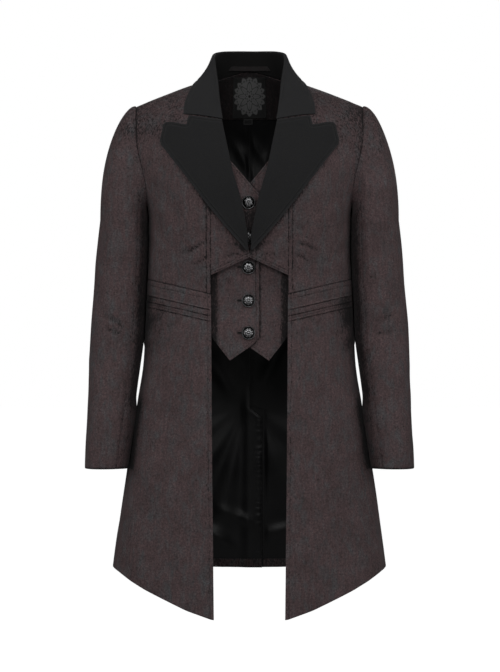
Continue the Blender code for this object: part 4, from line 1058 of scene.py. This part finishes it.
# Hanger loop: half width and height at its top and foot, half thickness, lean and gap behind it
LOOP_TOP, LOOP_FOOT, LOOP_HALF, LOOP_LEAN, LOOP_GAP = (32.0, 40.0), (38.0, 31.5), 0.6, 0.195, 2.8


def neckline_spot(x, side):
    z = back_top(x) if side == BACK else table_curve(NECKLINE_BY_X, x, 1)
    point, out = body(side, x, z)
    return point - out


def clear_of_coat(point, gap):
    if point[2] >= ridge_height(point[0]) - 0.5:
        return point
    side = FRONT if point[1] < ridge_setback(FRONT, point[0]) else BACK
    spot, out = body(side, abs(point[0]), point[2])
    return point + out * max(gap - (point - spot) @ out, 0.0)


def collar_station(row, index):
    neck_x, fold_x, fold_y, fold_z, edge_x, edge_z = map(float, row)
    side = BACK if index < BACK_STATIONS else FRONT
    neck = neckline_spot(neck_x, side)
    fold = np.array([fold_x, fold_y, fold_z])
    neck = neck + unit(fold - neck) * STAND_GAP
    point, out = body(side, edge_x, min(edge_z, float(ridge_height(edge_x))))
    edge = point + out * COLLAR_LIFT
    if index == len(COLLAR_STATIONS) - 1:
        point, out = body(FRONT, fold_x, fold_z)
        end = [point + np.array([x, 0, z]) + out * far for x, far, z in COLLAR_END]
        section = [end[0], mix(end[0], end[1], 0.5)] + end[1:]
    else:
        away = unit(np.array([edge[0] - neck[0], edge[1] - neck[1], 0]))
        before = mix(neck, fold, 1 - FOLD_HALF / np.linalg.norm(fold - neck))
        top = fold + away * FOLD_HALF + np.array([0, 0, FOLD_RISE])
        after = fold + away * FOLD_REACH - np.array([0, 0, FOLD_DROP])
        section = [neck, mix(neck, before, 0.5), before, top, after]
    start = section[-1]
    for share in (0.34, 0.67):
        point = mix(start, edge, share)
        point[0] -= FALL_SAG * math.sin(math.pi * share) * float(ease(index, 0, 3))
        section.append(clear_of_coat(point, FALL_LIFT))
    return section + [edge]


def painted_rim_highlight(far):
    """Painted highlight on the collar cloth: lighter at the rim and just past the sewn groove."""
    return 0.30 * near_line(far, 0.8, 1.6) + 0.18 * near_line(far, 6.8, 1.1)


def add_collar():
    half = np.array([collar_station(row, index) for index, row in enumerate(COLLAR_STATIONS)])
    points = refine(np.concatenate([mirror(half[:0:-1], RIGHT), half]), COLLAR_STEPS)
    points = refine(points.transpose(1, 0, 2), COLLAR_COLUMNS).transpose(1, 0, 2)
    column = np.arange(points.shape[1])[None]
    station = np.abs(np.arange(len(points)) - len(points) // 2)[:, None] / COLLAR_STEPS
    tuck = near_line(station, *STAND_TUCK[:2]) * near_line(column, *STAND_TUCK[2:4])
    points[..., 0] *= 1 - STAND_TUCK[4] * tuck
    far = far_from(points, refine(points[:, -1], 3))
    p = Panel(points, sheet_out(points))
    relief = stitch_groove(far, COLLAR_STITCH, 1.0) + p.wave(41, 60, 0.25) * ease(far, 0, 12) + COLLAR_HALF
    # The stand's inside is painted near black as painted shade, and the rim values are painted highlight.
    p.cloth("collar", relief, "back_R back_L", "collar_cloth", 2 * COLLAR_HALF,
            inside=1 - ease(column, 11.5, 14.5), rim=painted_rim_highlight(far) + COLLAR_RIM)
    stitches("collar_stitches", [p.line(relief, "last_column", COLLAR_STITCH, (4.0, 4.0))], radius=0.2)


def add_hanger_loop():
    rows = np.linspace(0, 1, 7)[:, None]
    wide = mix(LOOP_TOP[0], LOOP_FOOT[0], rows) * np.linspace(-1, 1, 41)[None]
    z = mix(LOOP_TOP[1], LOOP_FOOT[1], rows)
    neck = neckline_spot(wide, BACK)
    points = stack(wide, neck[..., 1] + (z - neck[..., 2]) * LOOP_LEAN - LOOP_GAP, z)
    # The loop is darkened as painted shade.
    Panel(points, sheet_out(points)).cloth("hanger_loop", LOOP_HALF, "collar", thick=2 * LOOP_HALF,
                                           grain=0.9, shade=0.88)


def lapel_grid():
    top = np.array(LAPEL_TOP, float)
    count = len(top) - 1
    marks = []
    for j in range(count):
        cells = max(int(round(np.linalg.norm(top[j + 1] - top[j]) / 2.4)), 2)
        marks.append(j + np.arange(cells) / cells)
    place = np.append(np.concatenate(marks), count)
    top_x, top_z = (np.interp(place, np.arange(count + 1), top[:, k])[None] for k in (0, 1))
    share = (place / count)[None]
    down = spread(225, True, False, 3.2)[:, None]
    bow = LAPEL_BOW * np.sin(math.pi * down) * down * share ** 3
    x = mix(top_x, mix(LAPEL_FOOT_INNER[0], LAPEL_FOOT_OUTER[0], share), down) + bow
    z = mix(top_z, mix(LAPEL_FOOT_INNER[1], LAPEL_FOOT_OUTER[1], share), down) - bow
    over = ease(z, -150, -215) * ease(z, -300, -268)
    x = x - LAPEL_OVERHANG * (1 - ease(share, 0, 0.3)) * over
    lift = LAPEL_LIFT - LAPEL_DIP * (1 - ease(share, 0, 0.12)) * ease(down, 0, 0.1)
    lift = lift + LAPEL_SPRING * share ** 2 * ease(down, 0.2, 0.7) * (1 - ease(down, 0.85, 1))
    points, out = body(FRONT, x, z)
    return points + out * lift[..., None]


def add_lapels():
    points = lapel_grid()
    far = far_from(points, refine(np.concatenate([points[0], points[:, -1]]), 2))
    thread = []
    for side in SIDES:
        p = Panel(points, sheet_out(points), side)
        relief = (stitch_groove(far, LAPEL_STITCH, 1.0) * ease(p.up, 4, 12)
                  + p.wave(51, 110, 0.5) * ease(far, 0, 20) + COLLAR_HALF)
        # The rim values are painted highlight along the lapel's edges.
        p.cloth("lapel_?", relief, "front_side_? collar", "collar_cloth", 2 * COLLAR_HALF,
                rim=painted_rim_highlight(far))
        for edge, skip in (("first_row", (2.0, 5.0)), ("last_column", (5.0, 6.0))):
            thread.append(p.line(relief, edge, LAPEL_STITCH, skip))
    stitches("lapel_stitches", thread, radius=0.2)


# Sleeves

# Tuck of the sleeve under the armhole's edge, ease of the lower sleeve towards the skirt, and
# millimetres for each degree round the sleeve
SEAM_TUCK, INNER_EASE, DEGREE = 1.1, 5.0, 0.85


def armhole_spot(angle):
    radians = np.radians(angle)
    middle = (SHOULDER_HEIGHT + UNDERARM_HEIGHT) / 2
    z = middle + (SHOULDER_HEIGHT - middle) * np.cos(radians)
    front = body(FRONT, side_edge(FRONT, z), z)
    back = body(BACK, side_edge(BACK, z), z)
    pick = (np.sin(radians) >= 0)[..., None]
    return np.where(pick, front[0], back[0]), np.where(pick, front[1], back[1])


def ring_point(angle, z):
    radians = np.radians(angle)
    outer, inner, middle_y, half_depth = (table_curve(SLEEVE_RINGS, z, k) for k in (1, 2, 3, 4))
    across, along = (np.sign(part) * np.abs(part) ** (2 / SLEEVE_POWER)
                     for part in (np.cos(radians), np.sin(radians)))
    return stack((outer + inner) / 2 + (outer - inner) / 2 * across, middle_y - half_depth * along, z)


def sleeve_grid(angles, heads, heights):
    angle = angles[None]
    start, out = armhole_spot(angle)
    edge = unit(np.cross(out, armhole_spot(angle + 0.5)[0] - armhole_spot(angle - 0.5)[0]))
    wrong = edge[..., 0] < edge[..., 2] * np.cos(np.radians(angle))
    start = start - np.where(wrong[..., None], -edge, edge) * SEAM_TUCK
    end = ring_point(angle, np.full_like(angle, FIRST_RING))
    over = (1 + np.cos(np.radians(angle))) / 2
    hang = (start[..., 2] - end[..., 2]) * mix(HEAD_HANG_UNDER, HEAD_HANG_OVER, over)
    first = start + stack(mix(HEAD_LEAD_UNDER[0], HEAD_LEAD_OVER[0], over), 0.0,
                          mix(HEAD_LEAD_UNDER[1], HEAD_LEAD_OVER[1], over))
    second = end + stack(HEAD_BULGE_X * over, 0.0, hang)
    t = heads[:, None, None]
    head = start * (1 - t) ** 3 + 3 * t * (1 - t) * (first * (1 - t) + second * t) + end * t ** 3
    low = ring_point(angle + 0 * heights[:, None], heights[:, None] + 0 * angle)
    return np.concatenate([head, low])


def add_sleeves():
    heads = np.concatenate([[0, 0.004, 0.011, 0.02, 0.035, 0.055], np.linspace(0.08, 1, 42)])
    heights = np.concatenate([np.linspace(FIRST_RING, CUFF + 12, 84)[1:],
                              [CUFF + far for far in (8.2, 5.0, 2.2, 1.2, 0.5, 0)]])
    inset = np.array([0, 0.3, 0.8, 1.6])
    for part, first, last in (("upper", -HIND_SEAM_ANGLE, FRONT_SEAM_ANGLE),
                              ("under", FRONT_SEAM_ANGLE, 360 - HIND_SEAM_ANGLE)):
        angles = np.concatenate([first + inset, np.linspace(first + 3, last - 3, int((last - first) / 3.0)),
                                 (last - inset)[::-1]])
        points = pull_in(sleeve_grid(angles, heads, heights))
        out = unit(np.cross(np.gradient(points, axis=1), np.gradient(points, axis=0)))
        z, turn = points[..., 2], (angles[None] + 180) % 360 - 180 + 0 * points[..., 2]
        for side in SIDES:
            p = Panel(points, out, side)
            table = [(a * DEGREE, z0, b * DEGREE, *rest) for a, z0, b, *rest in SLEEVE_CREASES[side]]
            inside = ease(least(p.first, p.last), 1, 14) * ease(p.down, 3, 25) * ease(p.up, 5, 30)
            clear = 1 - 0.9 * near_line(np.abs(turn), 180, 45)
            relief = (seam_roll(p.first, 0.4) + seam_roll(p.last, 0.4) + seam_roll(p.down, 1.0)
                      + seam_roll(p.up, 0.4) + creases(turn * DEGREE, z, table) * inside
                      + p.wave(61, 110, 1.0) * inside * clear)
            # Painted shade where the sleeve turns in beside the body: on the under piece's front part, less
            # towards the cuff, and a little next to the upper piece's seam.
            if part == "under":
                inner = p.first
                shadow = (0.15 + 0.6 * ease(inner, 0, 16)) * (1 - ease(angles, 190, 225))
                shadow = shadow * (1 - 0.5 * ease(-z, 560, 600))
                relief = relief + INNER_EASE * near_line(angles, 180, 38) * ease(-z, 556, 592)
            else:
                inner = p.last
                shadow = 0.2 * near_line(inner, 0, 6.0)
            # hem is painted shade along the cuff's lower edge; the dark line at the armhole seam is partly
            # painted shade in its groove.
            shadow, hem = shadow * ease(p.down, 2, 40), near_line(p.up, 0, 2.4)
            shadow_in_crease = crease_shadow(turn * DEGREE, z, table)
            lines = shadow + hem + 0.6 * near_line(p.down, 0, 1.2) + 0.7 * shadow_in_crease
            p.cloth("sleeve_%s_?" % part, relief, "front_side_? back_?",
                    grain=p.grain(inner + 6, lines), shade=0.6 * shadow + 0.7 * hem + 0.3 * shadow_in_crease)


# Mock waistcoat

def waistcoat_grid(table):
    rows = np.array(table, float)
    x = mix(rows[0, 0], rows[-1, 0], spread(130, True, False, 3.0))
    x = np.unique(np.round(np.concatenate([x, [0.0, 35.0]]), 3))
    top, foot = (np.interp(x, rows[:, 0], rows[:, k])[None] for k in (1, 2))
    a = spread(300, coarse=3.6)[:, None]
    return x[None] + 0 * a, mix(top, foot, a)


def waistcoat_shade(side, x, z):
    """Dark at the sides, between the lapels and next to the lapping edge."""
    gap = (1 - ease(x, 12, 24)) * ease(z, -316, -290) * ease(-z, 226, 240)
    lap = 0.0
    if side == LEFT:
        top, foot = ([np.array([-row[0], 0.0, row[k]]) for row in WAISTCOAT_OVER[:3]] for k in (1, 2))
        straight = mix(top[0], foot[0], np.linspace(0, 1, 160)[:, None])
        edge = np.concatenate([refine(np.array(top[::-1]), 24), straight, refine(np.array(foot), 24)])
        lap = near_line(far_from(stack(x, 0 * x, z), edge), 1.4, 1.9) * (x > -1)
    return np.maximum(np.maximum(ease(x, 54, 61), 0.9 * gap), lap)


def add_waistcoat():
    thread = []
    for name, table, side, depth in (("waistcoat_front_?", WAISTCOAT_OVER, RIGHT, OVER_DEPTH),
                                     ("waistcoat_front_?", WAISTCOAT_UNDER, LEFT, UNDER_DEPTH)):
        x, z = waistcoat_grid(table)
        base = mix(depth, WAISTCOAT_EDGE_DEPTH, ease(np.abs(x), *WAISTCOAT_TURN))
        p = on_body(FRONT, side, x, z, base, seams=False)
        free = ease(x, 13, 30) * (1 - ease(x, 60, 80))
        relief = (seam_roll(p.down, 0.4, 1.0) + seam_roll(p.up, 0.4, 1.0) + seam_roll(p.first, 0.3, 1.0)
                  + stitch_groove(p.down, WAISTCOAT_STITCH) + stitch_groove(p.up, WAISTCOAT_STITCH)
                  + np.minimum(creases(x, z, WAISTCOAT_CREASES), 1.2) * free)
        # Painted shade at the sides, between the lapels, by the lapping edge and in the creases.
        shade = waistcoat_shade(side, x, z)
        lines = 0.8 * shade + 0.9 * crease_shadow(x, z, WAISTCOAT_CREASES) * free
        rows = [("first_row", WAISTCOAT_STITCH), ("last_row", WAISTCOAT_STITCH)]
        if side == RIGHT:
            relief = relief + stitch_groove(p.first, STITCH_IN)
            for height in BUTTON_HEIGHTS:
                spot = np.hypot((x + BUTTON_X) / 1.3, z - height)
                relief = relief - 0.25 * near_line(spot, 14, 3.0)
            lines = lines + 0.8 * near_line(p.first, STITCH_IN, 0.8)
            rows.append(("first_column", STITCH_IN))
        p.cloth(name, relief, "front_side_?", grain=p.grain(least(p.down, p.up, p.first) + 6, lines),
                shade=0.55 * shade)
        thread += [p.line(relief, edge, far, (3.0, 3.0), columns=slice(60)) for edge, far in rows]
    stitches("waistcoat_stitches", thread)
    add_buttonholes()


# Buttonholes: middle of the slit beside its button, half length, half width, points round the cord
HOLE_X, HOLE_UP, HOLE_HALF, HOLE_WIDE, CORD_AROUND, CORD_POINTS = -15.4, 0.4, 6.6, 1.25, 40, 6
SLIT = [(-5.6, 0), (-4.6, 0.7), (4.6, 0.7), (5.6, 0), (4.6, -0.7), (-4.6, -0.7)]


def add_buttonholes():
    """Slits with a corded edge, each running out from under its button."""
    verts, faces, slit_verts, slit_faces = [], [], [], []
    for height in BUTTON_HEIGHTS:
        faces += tube_faces(len(verts), CORD_AROUND, CORD_POINTS, loop=True)
        for k in range(CORD_AROUND):
            angle = 2 * math.pi * k / CORD_AROUND
            c, s = math.cos(angle), math.sin(angle)
            reach = np.sign(c) * (HOLE_HALF - HOLE_WIDE) * min(abs(c) * 3, 1) + HOLE_WIDE * c
            spot, out = body(FRONT, HOLE_X + reach, height + HOLE_UP + HOLE_WIDE * s)
            spot = spot + out * OVER_DEPTH
            away = unit(np.array([c * 0.4, 0, s]))
            thick = 0.62 + 0.1 * math.sin(k * 2.5)
            for q in range(CORD_POINTS):
                turn = 2 * math.pi * q / CORD_POINTS
                verts.append(spot + away * math.cos(turn) * thick + out * (math.sin(turn) * thick + 0.1))
        first = len(slit_verts)
        for lift in (0.22, -0.5):
            for x, z in SLIT:
                spot, out = body(FRONT, HOLE_X + x, height + HOLE_UP + z)
                slit_verts.append(spot + out * (OVER_DEPTH + lift))
        slit_faces.append(tuple(range(first, first + 6)))
        slit_faces.append(tuple(range(first + 11, first + 5, -1)))
        slit_faces += [(a, d, c, b) for a, b, c, d in tube_faces(first, 2, 6)]
    trim("buttonhole_cords", verts, faces, THREAD, 60)
    # The slits are near-black plates: painted shade in the openings.
    trim("buttonhole_slits", slit_verts, slit_faces, HOLE, 60)


# Buttons. Columns of the section: distance from the middle, height
BUTTON_SECTION = [(0.0, 7.0), (2.0, 6.9), (4.0, 6.6), (6.0, 6.1), (7.6, 5.4), (8.8, 4.6), (9.6, 3.9),
                  (10.0, 3.6), (10.4, 3.7), (10.9, 4.1), (11.4, 4.15), (11.8, 3.8), (12.0, 3.2),
                  (11.9, 2.5), (11.0, 1.9), (8.0, 1.6), (3.0, 1.4), (3.0, 0.7), (3.0, 0.0)]
# Row where the face ends, rings, points round each; then the button in the lapels' shade and the share of
# its bright relief that it keeps, as painted shade
FACE_END, BUTTON_RINGS, BUTTON_AROUND, SHADED_BUTTON, SHADED_SHARE = 12, 62, 96, 2, 0.5
RELIEF_RISE, RELIEF_SINK, BOSS_TOP = 0.75, 0.25, 0.5


def button_relief(radius, angle):
    """Generic rosette: eight petals round a boss, inside a roped rim."""
    petal = 0.5 + 0.5 * np.cos(8 * angle)
    leaf = ease(radius, 2.4, 3.4) * (1 - ease(radius, 6.2 + 1.6 * petal, 7.4 + 1.6 * petal))
    boss = 1 - ease(radius, 1.3, 2.2)
    rope = near_line(radius, 11.1, 0.7) * (0.5 + 0.5 * np.cos(40 * angle))
    veins = 1 - 0.6 * near_line(np.sin(4 * angle) * radius, 0, 0.55)
    return np.clip(leaf * (0.35 + 0.65 * petal) * veins + boss + rope * 0.6, 0, 1)


def add_button(number, height):
    section = np.array(BUTTON_SECTION)
    walked = arc(section[None], 1)[0]
    fine = np.unique(np.concatenate([np.linspace(0, walked[-1], BUTTON_RINGS), walked]))[1:, None]
    angle = 2 * math.pi * np.arange(BUTTON_AROUND)[None] / BUTTON_AROUND + 0 * fine
    radius, rise = (np.interp(fine, walked, section[:, k]) for k in (0, 1))
    on_face = fine < walked[FACE_END]
    relief = button_relief(radius, angle + number * 0.4) * on_face
    up = rise + relief * RELIEF_RISE - RELIEF_SINK * on_face
    grid = stack(radius * np.cos(angle), radius * np.sin(angle), up).reshape(-1, 3)
    verts = np.concatenate([[[0, 0, section[0, 1] + BOSS_TOP]], grid, [[0, 0, 0]]])
    turns = [(k, (k + 1) % BUTTON_AROUND) for k in range(BUTTON_AROUND)]
    last = len(verts) - 1 - BUTTON_AROUND
    faces = [(0, 1 + k, 1 + q) for k, q in turns]
    faces += [(a, d, c, b) for a, b, c, d in tube_faces(1, len(fine), BUTTON_AROUND)]
    faces += [(len(verts) - 1, last + q, last + k) for k, q in turns]
    point, out = body(FRONT, abs(BUTTON_X), height)
    point[0] = BUTTON_X
    place = point + out * (OVER_DEPTH + BUTTON_OFF)
    out[0] = 0
    tilt = np.array(Vector(out).to_track_quat("Z", "Y").to_matrix())
    name = "waistcoat_button_%d" % number
    thing = mesh_object(name + "_metal", verts @ tilt.T + place, faces, [LOOKS["antique_silver"]], sharp=70)
    bright = np.concatenate([[1.0], (relief * 0.8 + 0.25 * on_face).ravel(), [0.0]])
    # The button in the lapels' shade keeps only part of its bright relief: painted shade.
    give(thing, "relief", bright * (SHADED_SHARE if number == SHADED_BUTTON else 1.0))
    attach(thing, "root")
    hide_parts(name)


# Floor, light and camera

FLOOR_HALF, FLOOR_LEVEL, AMBIENT = 30000, -1450, 0.05
# Columns: name, place, target, size in metres, power in watts
LIGHTS = [
    ("key_light", (-0.9, -3.6, 1.3), (0, 0, -0.4), 1.8, 26.0),
    ("fill_light", (1.3, -3.4, 0.6), (0, 0, -0.45), 2.2, 16.0),
    ("top_light", (0, -0.6, 2.2), (0, 0, -0.3), 1.6, 7.0),
    ("side_light_right", (-2.6, -1.1, 0.2), (-0.2, 0, -0.4), 1.6, 10.0),
    ("side_light_left", (2.6, -1.1, 0.2), (0.2, 0, -0.4), 1.6, 10.0),
    ("back_light", (0.4, 3.4, 0.8), (0, 0, -0.4), 2.2, 34.0),
]
# Metres for each pixel, camera's distance and height in metres, width of the image, sensor
SCALE, CAMERA_FAR, CAMERA_HEIGHT, IMAGE_WIDTH, SENSOR = 0.0018, 4.5, -0.4536, 500, 36.0
HALF_PIXEL = 0.5 / IMAGE_WIDTH


def add_studio():
    corners = [(-1, -1), (1, -1), (1, 1), (-1, 1)]
    n = Nodes("floor_look")
    for key, value in (("Base Color", colour(0.3)), ("Roughness", 0.9), ("Emission Color", colour(1.0)),
                       ("Emission Strength", n.add("ShaderNodeLightPath", {}).outputs["Is Camera Ray"])):
        n.put(n.shader.inputs[key], value)
    floor = mesh_object("floor", [(x * FLOOR_HALF, y * FLOOR_HALF, FLOOR_LEVEL) for x, y in corners],
                        [(0, 1, 2, 3)], [n.material])
    floor.data.shade_flat()
    world = bpy.data.worlds.new("studio")
    bpy.context.scene.world = world
    world.use_nodes = True
    tree = world.node_tree
    back = tree.nodes["Background"]
    path = tree.nodes.new("ShaderNodeLightPath")
    strength = tree.nodes.new("ShaderNodeMapRange")
    strength.inputs["To Min"].default_value = AMBIENT
    strength.inputs["To Max"].default_value = 1.0
    tree.links.new(path.outputs["Is Camera Ray"], strength.inputs["Value"])
    tree.links.new(strength.outputs[0], back.inputs["Strength"])
    back.inputs["Color"].default_value = colour(1.0)
    for name, spot, aim, size, power in LIGHTS:
        light = bpy.data.lights.new(name, "AREA")
        light.shape = "SQUARE"
        light.size = size
        light.energy = power
        lamp = add_object(name, light)
        lamp.location = spot
        lamp.rotation_mode = "QUATERNION"
        lamp.rotation_quaternion = (Vector(aim) - Vector(spot)).to_track_quat("-Z", "Y")


def add_camera():
    lens = bpy.data.cameras.new("camera")
    lens.sensor_fit = "HORIZONTAL"
    lens.sensor_width = SENSOR
    lens.lens = SENSOR * CAMERA_FAR / (SCALE * IMAGE_WIDTH)
    lens.shift_x = lens.shift_y = HALF_PIXEL
    camera = add_object("camera", lens)
    camera.location = (0, -CAMERA_FAR, CAMERA_HEIGHT)
    camera.rotation_euler = (math.radians(90), 0, 0)
    bpy.context.scene.camera = camera


bpy.context.scene.view_settings.view_transform = "Standard"
add_camera()
add_studio()
add_fronts()
add_backs()
add_linings()
add_neck()
add_collar()
add_hanger_loop()
add_lapels()
add_sleeves()
add_waistcoat()
for index, button_height in enumerate(BUTTON_HEIGHTS, start=1):
    add_button(index, button_height)
